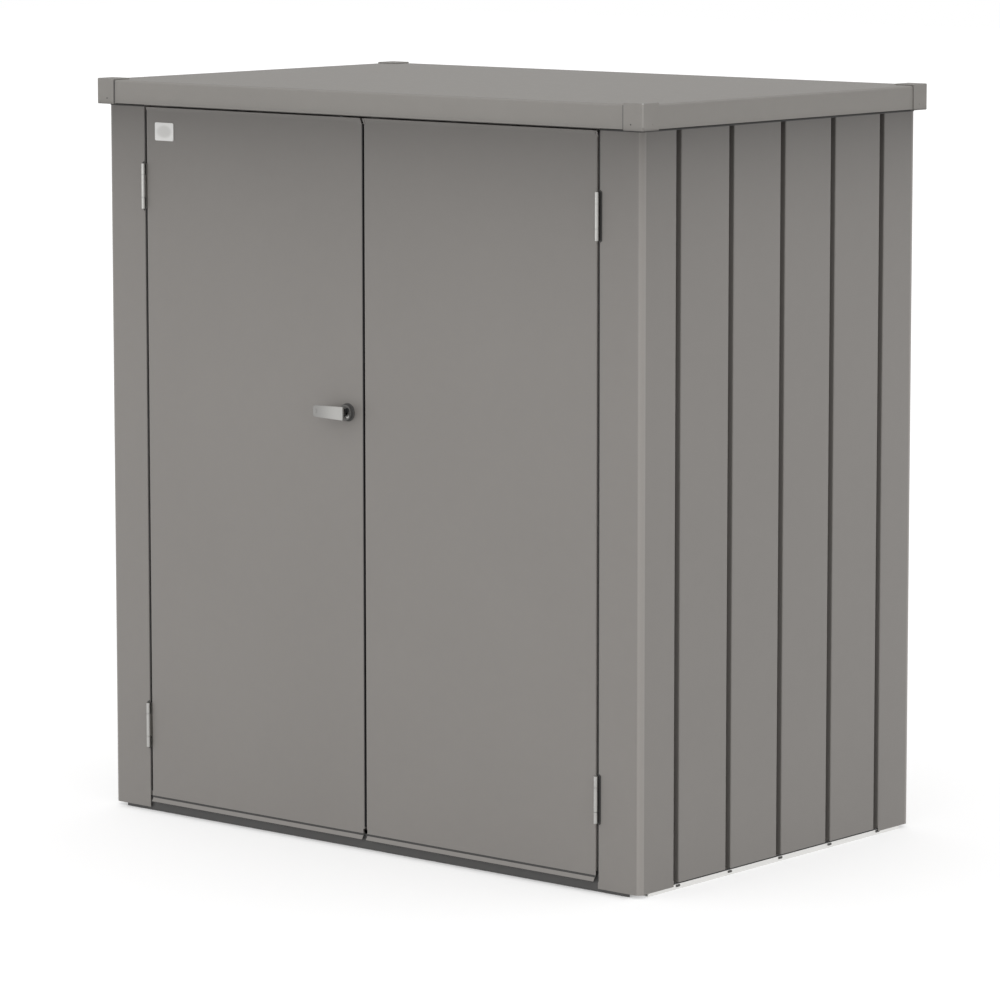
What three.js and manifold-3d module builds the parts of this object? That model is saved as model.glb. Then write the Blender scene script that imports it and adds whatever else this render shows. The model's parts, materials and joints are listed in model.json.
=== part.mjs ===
// Outdoor storage cabinet of folded sheet steel: two front doors, a lever lock with two rods,
// and a lid that is hinged at the back and held up by two gas struts.
// Millimetres, +Z up, front towards -Y, origin on the ground under the middle of the cabinet.
import * as THREE from "three";
import * as BufferGeometryUtils from "three/addons/utils/BufferGeometryUtils.js";
import Module from "manifold-3d";

const wasm = await Module();
wasm.setup();

// Whole cabinet
const TOTAL_HEIGHT = 1397;
const BODY_WIDTH = 1289;
const BODY_DEPTH = 812;
const SHEET = 1.2;
const SEAT = 0.3;
const OVERRUN = 5;

// Base frame
const RAIL_HEIGHT = 12;
const RAIL_WIDTH = 42;
const RAIL_WALL = 2;
const RAIL_INSET = 2;
const RAIL_CORNER_GAP = 28;
const PLINTH_INSET = 5;
const PLINTH_HEIGHT = 29;
const PLINTH_CORNER_GAP = 27;
const FLOOR_THICKNESS = 3;
const FLOOR_EDGE_GAP = 0.5;

// Walls of folded panels with a recessed joint between each two
const POST_FACE = 93.7;
const POST_SIDE = 97.6;
const POST_BACK = 110.4;
const POST_ROUND = 10.5;
const POST_RETURN = 26;
const POST_GROUND_GAP = 6.5;
const JOINT_WIDTH = 14;
const JOINT_DEPTH = 12;
const PANEL_RETURN = 18;
const PANEL_ROUND = 2;
const SIDE_PANELS = 4;
const BACK_PANELS = 7;
const ROOF_CLEARANCE = 17.3;

// Rails that tie the tops of the walls
const TOP_RAIL_SHEET = 1.5;
const TOP_RAIL_DROP = 36;
const TOP_RAIL_END_GAP = 34;
const FRONT_RAIL_FLANGE = 34;
const DOOR_STOP_DROP = 27;
const DOOR_STOP_GAP = 2;

// Doors
const DOOR_GAP = 5;
const DOOR_TOP_GAP = 5;
const DOOR_DEPTH = 20;
const DOOR_ROUND = 2.5;
const TOP_STRIP_HEIGHT = 9.5;
const TOP_STRIP_LEAN = 4;
const DOOR_GROUND_GAP = 18;
const DRIP_LIP_HEIGHT = 13.5;
const DRIP_LIP_LEAN = 8;
const DRIP_DIP = 3;
const DRIP_DIP_HEIGHT = 6.5;
const BRACE_DEPTH = 20;
const BRACE_WALL = 1.5;
const BRACE_WIDTH = 30;
const BRACE_HEEL = 2.5;
const LOCK_BRACE_WIDTH = 72;
const MIDDLE_BRACE_WIDTH = 60;
const MIDDLE_BRACE_HEIGHT = 470;
const PLATE_WIDTH = 48;
const PLATE_HEIGHT = 34;
const PLATE_THICKNESS = 1.2;
const PLATE_ROUND = 3;
const PLATE_FROM_EDGE = 24;
const PLATE_FROM_TOP = 18.5;

// Door hinges, with the barrel standing proud of the front
const HINGE_LENGTH = 85;
const HINGE_RADIUS = 4;
const HINGE_PIN_RADIUS = 2;
const HINGE_BORE_RADIUS = 2.3;
const HINGE_PROUD = 5.3;
const HINGE_OFFSET = 1.4;
const HINGE_LEAF = 1.4;
const HINGE_LEAF_DEPTH = 18;
const HINGE_LEAF_CLEARANCE = 5;
const HINGE_KNUCKLE = 43;
const HINGE_KNUCKLE_GAP = 0.5;
const UPPER_HINGE_FROM_TOP = 139.5;
const LOWER_HINGE_FROM_BOTTOM = 129;

// Lever lock with a pinion between two toothed rods
const LOCK_FROM_EDGE = 36;
const LOCK_HEIGHT = 808;
const ROSETTE_RADIUS = 20;
const ROSETTE_FLANGE = 2;
const ROSETTE_BOSS_RADIUS = 15.5;
const ROSETTE_HEIGHT = 8;
const SPINDLE_RADIUS = 5;
const SPINDLE_CLEARANCE = 0.5;
const SPINDLE_HOLE_RADIUS = 7.5;
const NECK_RADIUS = 8;
const LEVER_STAND_OFF = 22;
const LEVER_THICKNESS = 10;
const LEVER_REACH = 60.6;
const LEVER_HEEL = 14;
const LEVER_HALF_HEIGHT = 14;
const LEVER_TIP_HEIGHT = 21.5;
const LEVER_WAIST = 1.5;
const LEVER_ROUND = 3;
const PINION_TEETH = 12;
const PINION_RADIUS = 12.73;
const PINION_THICKNESS = 8;
const PINION_DEPTH = 6;
const TOOTH_CLEARANCE = 0.35;
const TOOTH_PRESSURE_ANGLE = 20;
const ADDENDUM_SHARE = 0.85;
const DEDENDUM_SHARE = 1.15;
const ROD_RADIUS = 4;
const ROD_HOLE_RADIUS = 5;
const ROD_OFFSET = 20;
const RACK_LENGTH = 52;
const RACK_BACK = 10;
const ROD_TIP_GAP = 1.3;
const KEEPER_HOLE_RADIUS = 6;

// Lid
const SIDE_OVERHANG = 15.5;
const FRONT_OVERHANG = 16;
const CAP_PROUD = 2.5;
const CAP_SIZE = 44;
const CAP_WALL = 2.2;
const CAP_LIP = 8;
const CAP_LIP_THICKNESS = 1.7;
const CAP_ROUND = 4;
const CAP_EDGE_ROUND = 1;
const FASCIA_HEIGHT = 43.5;
const ROOF_ROUND = 4;
const FASCIA_FLARE = 1;
const FASCIA_FLARE_HEIGHT = 4;
const LID_RIB_WIDTH = 34;
const LID_RIB_END_GAP = 24;
const LID_HINGE_END_GAP = 94.5;
const LID_HINGE_KNUCKLES = 5;
const LID_AXIS_DROP = 5.5;
const LID_LEAF_HEIGHT = 30;

// Gas struts
const STRUT_FROM_SIDE = 31.5;
const STRUT_FOOT_FROM_BACK = 43;
const STRUT_FOOT_DROP = 202;
const STRUT_HEAD_FROM_AXIS = 200;
const STRUT_HEAD_DROP = 31;
const STRUT_FROM_RIB = 13;
const STRUT_TUBE_RADIUS = 9;
const STRUT_TUBE_LENGTH = 205;
const STRUT_ROD_RADIUS = 4;
const STRUT_BORE_RADIUS = 4.5;
const STRUT_BORE_END = 22;
const STRUT_ROD_SEAT = 4;
const STRUT_EYE_RADIUS = 8;
const STRUT_EYE_WIDTH = 10;
const STUD_RADIUS = 4;
const STUD_HEAD_RADIUS = 6;
const STUD_HEAD = 2.5;
const STRUT_PLATE = 3;
const STRUT_PLATE_SIZE = 40;

// Facets of round shapes
const BEND_STEPS = 4;
const SMALL_ROUND_SIDES = 16;
const ROUND_SIDES = 32;

// Places worked out from the sizes above
const BODY_SIDE = BODY_WIDTH / 2;
const BODY_FRONT = -BODY_DEPTH / 2;
const BODY_BACK = BODY_DEPTH / 2;
const ROOF_TOP = TOTAL_HEIGHT - CAP_PROUD;
const ROOF_UNDERSIDE = ROOF_TOP - SHEET;
const FASCIA_BOTTOM = ROOF_TOP - FASCIA_HEIGHT;
const LID_SIDE = BODY_SIDE + SIDE_OVERHANG;
const LID_BACK = BODY_BACK + FRONT_OVERHANG;
const FASCIA_SIDE = LID_SIDE - CAP_PROUD;
const FASCIA_BACK = LID_BACK - CAP_PROUD;
const PANEL_BOTTOM = RAIL_HEIGHT + SEAT;
const WALL_TOP = ROOF_UNDERSIDE - ROOF_CLEARANCE;
const SIDE_PANEL_WIDTH =
  (BODY_DEPTH - 2 * POST_SIDE - (SIDE_PANELS + 1) * JOINT_WIDTH) / SIDE_PANELS;
const BACK_PANEL_WIDTH =
  (BODY_WIDTH - 2 * POST_BACK - (BACK_PANELS + 1) * JOINT_WIDTH) / BACK_PANELS;
const WALL_INSIDE = BODY_SIDE - PANEL_RETURN;
const DOORWAY_SIDE = BODY_SIDE - POST_FACE;
const DOOR_OUTER = DOORWAY_SIDE - DOOR_GAP;
const DOOR_INNER = DOOR_GAP / 2;
const DOOR_TOP = FASCIA_BOTTOM - DOOR_TOP_GAP;
const DOOR_FACE_TOP = DOOR_TOP - TOP_STRIP_HEIGHT;
const DRIP_FOLD = DOOR_GROUND_GAP + DRIP_LIP_HEIGHT;
const DOOR_FACE_BOTTOM = DRIP_FOLD + DRIP_DIP_HEIGHT;
const FRONT_WEB = DOOR_TOP + ROD_TIP_GAP + SHEET;
const LOCK_X = -DOOR_INNER - LOCK_FROM_EDGE;
const HINGE_X = DOORWAY_SIDE - DOOR_GAP / 2 + HINGE_OFFSET;
const HINGE_Y = BODY_FRONT - HINGE_PROUD;
const PITCH = (2 * Math.PI * PINION_RADIUS) / PINION_TEETH;
const MODULE = (2 * PINION_RADIUS) / PINION_TEETH;
const PRESSURE = THREE.MathUtils.degToRad(TOOTH_PRESSURE_ANGLE);
const LID_LEAF_BACK = FASCIA_BACK - SHEET - SEAT;
const LID_AXIS = new THREE.Vector2(LID_LEAF_BACK - HINGE_RADIUS, FASCIA_BOTTOM - LID_AXIS_DROP);
const RAIL_TOP = WALL_TOP + SEAT + TOP_RAIL_SHEET;
const STRUT_X = BODY_SIDE - STRUT_FROM_SIDE;
const STRUT_FOOT = new THREE.Vector3(STRUT_X, BODY_BACK - STRUT_FOOT_FROM_BACK, WALL_TOP - STRUT_FOOT_DROP);
const STRUT_HEAD = new THREE.Vector3(
  STRUT_X,
  LID_AXIS.x - STRUT_HEAD_FROM_AXIS,
  ROOF_UNDERSIDE - STRUT_HEAD_DROP
);

const X = new THREE.Vector3(1, 0, 0);
const Y = new THREE.Vector3(0, 1, 0);
const Z = new THREE.Vector3(0, 0, 1);
const QUARTER = Math.PI / 2;

// Materials
const finish = (color, roughness, metalness) =>
  new THREE.MeshStandardMaterial({ color, roughness, metalness });
const coat = finish("#87847f", 0.55, 0.15);
const darkCoat = finish("#4b4a49", 0.6, 0.15);
const aluminium = finish("#c9c8c5", 0.4, 0.9);
const stainless = finish("#b4b3b0", 0.3, 0.95);
const zinc = finish("#9fa1a3", 0.45, 0.85);
const blackCoat = finish("#1c1c1d", 0.5, 0.2);

const cabinet = new THREE.Group();

// Turns a closed geometry into a solid that can be joined and cut
function solid(geometry) {
  const bare = geometry.index ? geometry.toNonIndexed() : geometry.clone();
  bare.deleteAttribute("normal");
  bare.deleteAttribute("uv");
  const merged = BufferGeometryUtils.mergeVertices(bare);
  return new wasm.Manifold(
    new wasm.Mesh({
      numProp: 3,
      vertProperties: new Float32Array(merged.attributes.position.array),
      triVerts: new Uint32Array(merged.index.array),
    })
  );
}

function geometryOf(body) {
  const mesh = body.getMesh();
  const geometry = new THREE.BufferGeometry();
  geometry.setAttribute("position", new THREE.BufferAttribute(mesh.vertProperties, 3));
  geometry.setIndex(new THREE.BufferAttribute(mesh.triVerts, 1));
  return geometry;
}

function join(first, ...others) {
  return geometryOf(others.reduce((body, next) => body.add(solid(next)), solid(first)));
}

function cut(first, ...tools) {
  return geometryOf(tools.reduce((body, next) => body.subtract(solid(next)), solid(first)));
}

function add(name, geometry, material) {
  const mesh = new THREE.Mesh(geometry, material);
  mesh.name = name;
  cabinet.add(mesh);
}

function block([x0, x1], [y0, y1], [z0, z1]) {
  const box = new THREE.BoxGeometry(Math.abs(x1 - x0), Math.abs(y1 - y0), Math.abs(z1 - z0));
  return box.translate((x0 + x1) / 2, (y0 + y1) / 2, (z0 + z1) / 2);
}

// Round bar from one point to another
function bar(from, to, radius, sides = SMALL_ROUND_SIDES) {
  const run = new THREE.Vector3().subVectors(to, from);
  const cylinder = new THREE.CylinderGeometry(radius, radius, run.length(), sides);
  const turn = new THREE.Quaternion().setFromUnitVectors(Y, run.clone().normalize());
  const middle = new THREE.Vector3().addVectors(from, to).multiplyScalar(1 / 2);
  return cylinder.applyQuaternion(turn).translate(middle.x, middle.y, middle.z);
}

// Line through corners given as [x, y, bend radius], with each bend as an arc
function bentLine(corners) {
  const line = [];
  corners.forEach(([x, y, radius = 0], i) => {
    const corner = new THREE.Vector2(x, y);
    if (!radius) {
      line.push(corner);
      return;
    }
    const before = new THREE.Vector2(...corners[i - 1]).sub(corner).normalize();
    const after = new THREE.Vector2(...corners[i + 1]).sub(corner).normalize();
    const half = Math.acos(before.dot(after)) / 2;
    const inward = before.clone().add(after).normalize();
    const centre = inward.multiplyScalar(radius / Math.sin(half)).add(corner);
    const start = before.multiplyScalar(radius / Math.tan(half)).add(corner).sub(centre);
    const end = after.multiplyScalar(radius / Math.tan(half)).add(corner).sub(centre);
    const sweep = Math.atan2(start.cross(end), start.dot(end));
    for (let step = 0; step <= BEND_STEPS; step += 1) {
      const angle = (sweep * step) / BEND_STEPS;
      line.push(start.clone().rotateAround(new THREE.Vector2(), angle).add(centre));
    }
  });
  return line;
}

// Section of a folded sheet: the line is one face, and the thickness lies to its left
function sheetSection(corners, thickness) {
  const line = bentLine(corners);
  const left = (a, b) => new THREE.Vector2(a.y - b.y, b.x - a.x).normalize();
  const inner = line.map((point, i) => {
    const normals = [];
    if (i > 0) normals.push(left(line[i - 1], point));
    if (i < line.length - 1) normals.push(left(point, line[i + 1]));
    const mitre = normals.reduce((sum, n) => sum.clone().add(n)).normalize();
    return mitre.clone().multiplyScalar(thickness / mitre.dot(normals[0])).add(point);
  });
  return new THREE.Shape([...line, ...inner.reverse()]);
}

// Section in plan, pulled up from one height to another
function upright(section, low, high) {
  const options = { depth: high - low, bevelEnabled: false, curveSegments: BEND_STEPS };
  return new THREE.ExtrudeGeometry(section, options).translate(0, 0, low);
}

// Section in the Y-Z plane, pulled along X
function alongX(section, low, high) {
  const options = { depth: high - low, bevelEnabled: false, curveSegments: BEND_STEPS };
  const turn = new THREE.Matrix4().makeBasis(Y, Z, X);
  return new THREE.ExtrudeGeometry(section, options).applyMatrix4(turn).translate(low, 0, 0);
}

// Section in the X-Z plane, pulled along Y
function alongY(section, low, high) {
  const options = { depth: high - low, bevelEnabled: false, curveSegments: BEND_STEPS };
  const turn = new THREE.Matrix4().makeRotationX(QUARTER);
  return new THREE.ExtrudeGeometry(section, options).applyMatrix4(turn).translate(0, high, 0);
}

function mirrorX(geometry) {
  const mirrored = geometry.index ? geometry.toNonIndexed() : geometry.clone();
  mirrored.scale(-1, 1, 1);
  const p = mirrored.attributes.position;
  for (let i = 0; i < p.count; i += 3) {
    const swap = new THREE.Vector3().fromBufferAttribute(p, i + 1);
    const other = new THREE.Vector3().fromBufferAttribute(p, i + 2);
    p.setXYZ(i + 1, other.x, other.y, other.z);
    p.setXYZ(i + 2, swap.x, swap.y, swap.z);
  }
  return mirrored;
}

// Adds a piece on the right and its mirror image on the left
function addPair(name, geometry, material) {
  add(`right_${name}`, geometry, material);
  add(`left_${name}`, mirrorX(geometry), material);
}

// Channel that the walls stand on, open inwards, as a section across its run
function railSection(outer, inward) {
  const far = outer + inward * RAIL_WIDTH;
  const corners = [
    [far, 0],
    [outer, 0],
    [outer, RAIL_HEIGHT],
    [far, RAIL_HEIGHT],
  ];
  return sheetSection(inward < 0 ? corners : corners.reverse(), RAIL_WALL);
}

function addBaseFrame() {
  const sideOuter = BODY_SIDE - RAIL_INSET;
  const between = sideOuter - RAIL_WIDTH - SEAT;
  const sideEnd = BODY_BACK - RAIL_CORNER_GAP;
  addPair("base_rail", alongY(railSection(sideOuter, -1), -sideEnd, sideEnd), aluminium);
  const backOuter = BODY_BACK - RAIL_INSET;
  add("back_base_rail", alongX(railSection(backOuter, -1), -between, between), aluminium);

  const face = BODY_FRONT + PLINTH_INSET;
  const plinthEnd = BODY_SIDE - PLINTH_CORNER_GAP;
  const channel = alongX(railSection(face, 1), -between, between);
  const upstand = block([-plinthEnd, plinthEnd], [face, face + RAIL_WALL], [0, PLINTH_HEIGHT]);
  add("front_plinth_rail", join(channel, upstand), darkCoat);

  const side = WALL_INSIDE - FLOOR_EDGE_GAP;
  const front = face + RAIL_WALL + SEAT;
  const back = BODY_BACK - PANEL_RETURN - FLOOR_EDGE_GAP;
  add(
    "floor_plate",
    block([-side, side], [front, back], [PANEL_BOTTOM, PANEL_BOTTOM + FLOOR_THICKNESS]),
    aluminium
  );
}

// One folded piece of wall, from the base rail up to just under the roof
function wallPiece(corners) {
  return upright(sheetSection(corners, SHEET), PANEL_BOTTOM, WALL_TOP);
}

// Sets a panel's corners on a wall: no quarter turn is the right wall, one the back, two the left.
// The walls run counter-clockwise, seen from above.
function placed(corners, turns, origin) {
  const [cos, sin] = [[1, 0], [0, 1], [-1, 0]][turns];
  return corners.map(([along, depth, radius]) => [
    origin[0] - depth * cos - along * sin,
    origin[1] + along * cos - depth * sin,
    radius,
  ]);
}

// Corners of a panel, as distance along the wall and depth behind its face
function panelCorners(width) {
  return [
    [0, PANEL_RETURN],
    [0, 0, PANEL_ROUND],
    [width, 0, PANEL_ROUND],
    [width, JOINT_DEPTH],
    [width + JOINT_WIDTH - SEAT, JOINT_DEPTH],
  ];
}

function addWallPanels() {
  const sidePitch = SIDE_PANEL_WIDTH + JOINT_WIDTH;
  const sideStart = BODY_FRONT + POST_SIDE + JOINT_WIDTH;
  for (let i = 0; i < SIDE_PANELS; i += 1) {
    const along = sideStart + i * sidePitch;
    const right = placed(panelCorners(SIDE_PANEL_WIDTH), 0, [BODY_SIDE, along]);
    const left = placed(panelCorners(SIDE_PANEL_WIDTH), 2, [-BODY_SIDE, -along]);
    add(`right_wall_panel_${i + 1}`, wallPiece(right), coat);
    add(`left_wall_panel_${SIDE_PANELS - i}`, wallPiece(left), coat);
  }
  const backPitch = BACK_PANEL_WIDTH + JOINT_WIDTH;
  const backStart = BODY_SIDE - POST_BACK - JOINT_WIDTH;
  for (let i = 0; i < BACK_PANELS; i += 1) {
    const corners = placed(panelCorners(BACK_PANEL_WIDTH), 1, [backStart - i * backPitch, BODY_BACK]);
    add(`back_wall_panel_${i + 1}`, wallPiece(corners), coat);
  }
}

// Lower edge of a post: its two outer faces reach further down than its folded edges
function withSkirt(post, corners) {
  const skirt = upright(sheetSection(corners, SHEET), POST_GROUND_GAP, PANEL_BOTTOM + OVERRUN);
  return join(post, skirt);
}

// Stud on a small plate inside a rear post, which carries the foot of a gas strut
function strutStud(side) {
  const wall = side * (BODY_SIDE - SHEET);
  const plateFace = wall - side * STRUT_PLATE;
  const eyeInner = side * (STRUT_X - STRUT_EYE_WIDTH / 2 - SEAT);
  const half = STRUT_PLATE_SIZE / 2;
  const { y, z } = STRUT_FOOT;
  const at = (x) => new THREE.Vector3(x, y, z);
  const plate = block([wall, plateFace], [y - half, y + half], [z - half, z + half]);
  const stud = bar(at(wall), at(eyeInner), STUD_RADIUS);
  const head = bar(at(eyeInner), at(eyeInner - side * STUD_HEAD), STUD_HEAD_RADIUS);
  return [plate, stud, head];
}

function addPosts() {
  const footRun = JOINT_WIDTH - SEAT;
  const frontRight = [
    [DOORWAY_SIDE, BODY_FRONT + POST_RETURN],
    [DOORWAY_SIDE, BODY_FRONT, PANEL_ROUND],
    [BODY_SIDE, BODY_FRONT, POST_ROUND],
    [BODY_SIDE, BODY_FRONT + POST_SIDE, PANEL_ROUND],
    [BODY_SIDE - JOINT_DEPTH, BODY_FRONT + POST_SIDE],
    [BODY_SIDE - JOINT_DEPTH, BODY_FRONT + POST_SIDE + footRun],
  ];
  const clearOfPlinth = block(
    [DOORWAY_SIDE - OVERRUN, BODY_SIDE - POST_ROUND],
    [BODY_FRONT + SHEET, BODY_FRONT + POST_RETURN + OVERRUN],
    [0, PLINTH_HEIGHT + SEAT]
  );
  const frontSkirt = [
    [DOORWAY_SIDE, BODY_FRONT],
    [BODY_SIDE, BODY_FRONT, POST_ROUND],
    [BODY_SIDE, BODY_FRONT + POST_SIDE],
  ];
  const frontPost = withSkirt(cut(wallPiece(frontRight), clearOfPlinth), frontSkirt);
  add("right_front_post", frontPost, coat);

  const sideFold = BODY_BACK - POST_SIDE;
  const frontLeft = [
    [-WALL_INSIDE, -sideFold],
    [-BODY_SIDE, -sideFold, PANEL_ROUND],
    [-BODY_SIDE, BODY_FRONT, POST_ROUND],
    [-DOORWAY_SIDE, BODY_FRONT, PANEL_ROUND],
    [-DOORWAY_SIDE, BODY_FRONT + POST_RETURN],
  ];
  const leftClear = mirrorX(clearOfPlinth);
  const leftSkirt = frontSkirt.map(([x, y, radius]) => [-x, y, radius]).reverse();
  add("left_front_post", withSkirt(cut(wallPiece(frontLeft), leftClear), leftSkirt), coat);

  const backFold = BODY_SIDE - POST_BACK;
  const backRight = [
    [WALL_INSIDE, sideFold],
    [BODY_SIDE, sideFold, PANEL_ROUND],
    [BODY_SIDE, BODY_BACK, POST_ROUND],
    [backFold, BODY_BACK, PANEL_ROUND],
    [backFold, BODY_BACK - JOINT_DEPTH],
    [backFold - footRun, BODY_BACK - JOINT_DEPTH],
  ];
  const backSkirt = [
    [BODY_SIDE, sideFold],
    [BODY_SIDE, BODY_BACK, POST_ROUND],
    [backFold, BODY_BACK],
  ];
  const rightBack = withSkirt(wallPiece(backRight), backSkirt);
  add("right_back_post", join(rightBack, ...strutStud(1)), coat);

  const backLeft = [
    [-backFold, BODY_BACK - PANEL_RETURN],
    [-backFold, BODY_BACK, PANEL_ROUND],
    [-BODY_SIDE, BODY_BACK, POST_ROUND],
    [-BODY_SIDE, sideFold, PANEL_ROUND],
    [-BODY_SIDE + JOINT_DEPTH, sideFold],
    [-BODY_SIDE + JOINT_DEPTH, sideFold - footRun],
  ];
  const leftBackSkirt = backSkirt.map(([x, y, radius]) => [-x, y, radius]).reverse();
  const leftBack = withSkirt(wallPiece(backLeft), leftBackSkirt);
  add("left_back_post", join(leftBack, ...strutStud(-1)), coat);
}

function addTopRails() {
  const top = RAIL_TOP;
  const side = BODY_SIDE - SHEET - SEAT;
  const legOuter = WALL_INSIDE - SEAT;
  const sideSection = sheetSection(
    [
      [side, top],
      [legOuter - TOP_RAIL_SHEET, top],
      [legOuter - TOP_RAIL_SHEET, top - TOP_RAIL_DROP],
    ],
    TOP_RAIL_SHEET
  );
  const sideEnd = BODY_BACK - TOP_RAIL_END_GAP;
  addPair("top_rail", alongY(sideSection, -sideEnd, sideEnd), coat);

  const backLeg = BODY_BACK - PANEL_RETURN - SEAT;
  const backSection = sheetSection(
    [
      [BODY_BACK - SHEET - SEAT, top],
      [backLeg - TOP_RAIL_SHEET, top],
      [backLeg - TOP_RAIL_SHEET, top - TOP_RAIL_DROP],
    ],
    TOP_RAIL_SHEET
  );
  const backEnd = legOuter - TOP_RAIL_SHEET - SEAT;
  add("back_top_rail", alongX(backSection, -backEnd, backEnd), coat);

  const stop = BODY_FRONT + SHEET + BRACE_DEPTH + DOOR_STOP_GAP;
  const frontSection = sheetSection(
    [
      [BODY_FRONT + FRONT_RAIL_FLANGE, top],
      [BODY_FRONT + SHEET, top],
      [BODY_FRONT + SHEET, FRONT_WEB],
      [stop, FRONT_WEB],
      [stop, FRONT_WEB - DOOR_STOP_DROP],
    ],
    TOP_RAIL_SHEET
  );
  const frontEnd = DOORWAY_SIDE - SEAT;
  const keeper = bar(
    new THREE.Vector3(LOCK_X - ROD_OFFSET, rodDepth(), FRONT_WEB - OVERRUN),
    new THREE.Vector3(LOCK_X - ROD_OFFSET, rodDepth(), FRONT_WEB + OVERRUN),
    KEEPER_HOLE_RADIUS
  );
  add("front_top_rail", cut(alongX(frontSection, -frontEnd, frontEnd), keeper), coat);
}

// Depth of the lock rods' middle line, inside the door
function rodDepth() {
  return BODY_FRONT + PINION_DEPTH + PINION_THICKNESS / 2;
}

// Folded skin of the right door, with its leaning top strip and drip lip
function doorSkin() {
  const section = sheetSection(
    [
      [DOOR_INNER, BODY_FRONT + DOOR_DEPTH],
      [DOOR_INNER, BODY_FRONT, DOOR_ROUND],
      [DOOR_OUTER, BODY_FRONT, DOOR_ROUND],
      [DOOR_OUTER, BODY_FRONT + DOOR_DEPTH],
    ],
    SHEET
  );
  const tray = upright(section, DOOR_FACE_BOTTOM, DOOR_FACE_TOP);
  const [inner, outer] = [DOOR_INNER + DOOR_ROUND, DOOR_OUTER - DOOR_ROUND];
  const strip = sheetSection(
    [
      [BODY_FRONT - TOP_STRIP_LEAN, DOOR_TOP],
      [BODY_FRONT, DOOR_FACE_TOP],
      [BODY_FRONT, DOOR_FACE_TOP - OVERRUN],
    ],
    SHEET
  );
  const lip = sheetSection(
    [
      [BODY_FRONT, DOOR_FACE_BOTTOM + OVERRUN],
      [BODY_FRONT, DOOR_FACE_BOTTOM],
      [BODY_FRONT + DRIP_DIP, DRIP_FOLD],
      [BODY_FRONT + DRIP_DIP - DRIP_LIP_LEAN, DOOR_GROUND_GAP],
    ],
    SHEET
  );
  return join(tray, alongX(strip, inner, outer), alongX(lip, inner, outer));
}

// Channel frame that stiffens a door from behind. The side next to the other door is wider
// where it holds the lock.
function doorBrace(freeSideWidth) {
  const [left, right] = [DOOR_INNER + DOOR_ROUND, DOOR_OUTER - DOOR_ROUND];
  const [bottom, top] = [DOOR_FACE_BOTTOM + BRACE_HEEL, DOOR_FACE_TOP - BRACE_HEEL];
  const front = BODY_FRONT + SHEET + SEAT;
  const back = BODY_FRONT + SHEET + BRACE_DEPTH;
  const middleHalf = MIDDLE_BRACE_WIDTH / 2;
  const middle = [MIDDLE_BRACE_HEIGHT - middleHalf, MIDDLE_BRACE_HEIGHT + middleHalf];
  const through = [front - OVERRUN, back + OVERRUN];
  const openX = [left + freeSideWidth, right - BRACE_WIDTH];
  const ring = cut(
    block([left, right], [front, back], [bottom, top]),
    block(openX, through, [bottom + BRACE_WIDTH, middle[0]]),
    block(openX, through, [middle[1], top - BRACE_WIDTH])
  );
  const hollow = [front - OVERRUN, back - BRACE_WALL];
  const inside = ([low, high]) => [low + BRACE_WALL, high - BRACE_WALL];
  return cut(
    ring,
    block(inside([left, openX[0]]), hollow, inside([bottom, top])),
    block(inside([openX[1], right]), hollow, inside([bottom, top])),
    block(inside([left, right]), hollow, inside([bottom, bottom + BRACE_WIDTH])),
    block(inside([left, right]), hollow, inside([top - BRACE_WIDTH, top])),
    block(inside([left, right]), hollow, inside(middle))
  );
}

// Holes through the left door's brace for the lock rods and the spindle
function rodHole(x) {
  const low = new THREE.Vector3(x, rodDepth(), DOOR_GROUND_GAP);
  const high = new THREE.Vector3(x, rodDepth(), DOOR_TOP);
  return bar(low, high, ROD_HOLE_RADIUS);
}

function spindleHole(radius) {
  return bar(
    new THREE.Vector3(LOCK_X, BODY_FRONT - OVERRUN, LOCK_HEIGHT),
    new THREE.Vector3(LOCK_X, BODY_FRONT + BRACE_DEPTH + OVERRUN, LOCK_HEIGHT),
    radius
  );
}

function addDoors() {
  const skin = doorSkin();
  add("right_door_skin", skin, coat);
  add("left_door_skin", cut(mirrorX(skin), spindleHole(SPINDLE_HOLE_RADIUS)), coat);
  add("right_door_brace", doorBrace(BRACE_WIDTH), zinc);
  const lockSide = cut(
    mirrorX(doorBrace(LOCK_BRACE_WIDTH)),
    rodHole(LOCK_X - ROD_OFFSET),
    rodHole(LOCK_X + ROD_OFFSET),
    spindleHole(SPINDLE_RADIUS + SPINDLE_CLEARANCE)
  );
  add("left_door_brace", lockSide, zinc);

  const plateLeft = -DOOR_OUTER + PLATE_FROM_EDGE;
  const plateTop = DOOR_FACE_TOP - PLATE_FROM_TOP;
  const outline = roundedRectangle(
    [plateLeft, plateLeft + PLATE_WIDTH],
    [plateTop - PLATE_HEIGHT, plateTop],
    PLATE_ROUND
  );
  const plateBack = BODY_FRONT - SEAT;
  add("blank_name_plate", alongY(outline, plateBack - PLATE_THICKNESS, plateBack), stainless);
}

function roundedRectangle([x0, x1], [y0, y1], radius) {
  const shape = new THREE.Shape();
  shape.absarc(x1 - radius, y1 - radius, radius, 0, QUARTER);
  shape.absarc(x0 + radius, y1 - radius, radius, QUARTER, 2 * QUARTER);
  shape.absarc(x0 + radius, y0 + radius, radius, 2 * QUARTER, 3 * QUARTER);
  shape.absarc(x1 - radius, y0 + radius, radius, 3 * QUARTER, 4 * QUARTER);
  shape.closePath();
  return shape;
}

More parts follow.
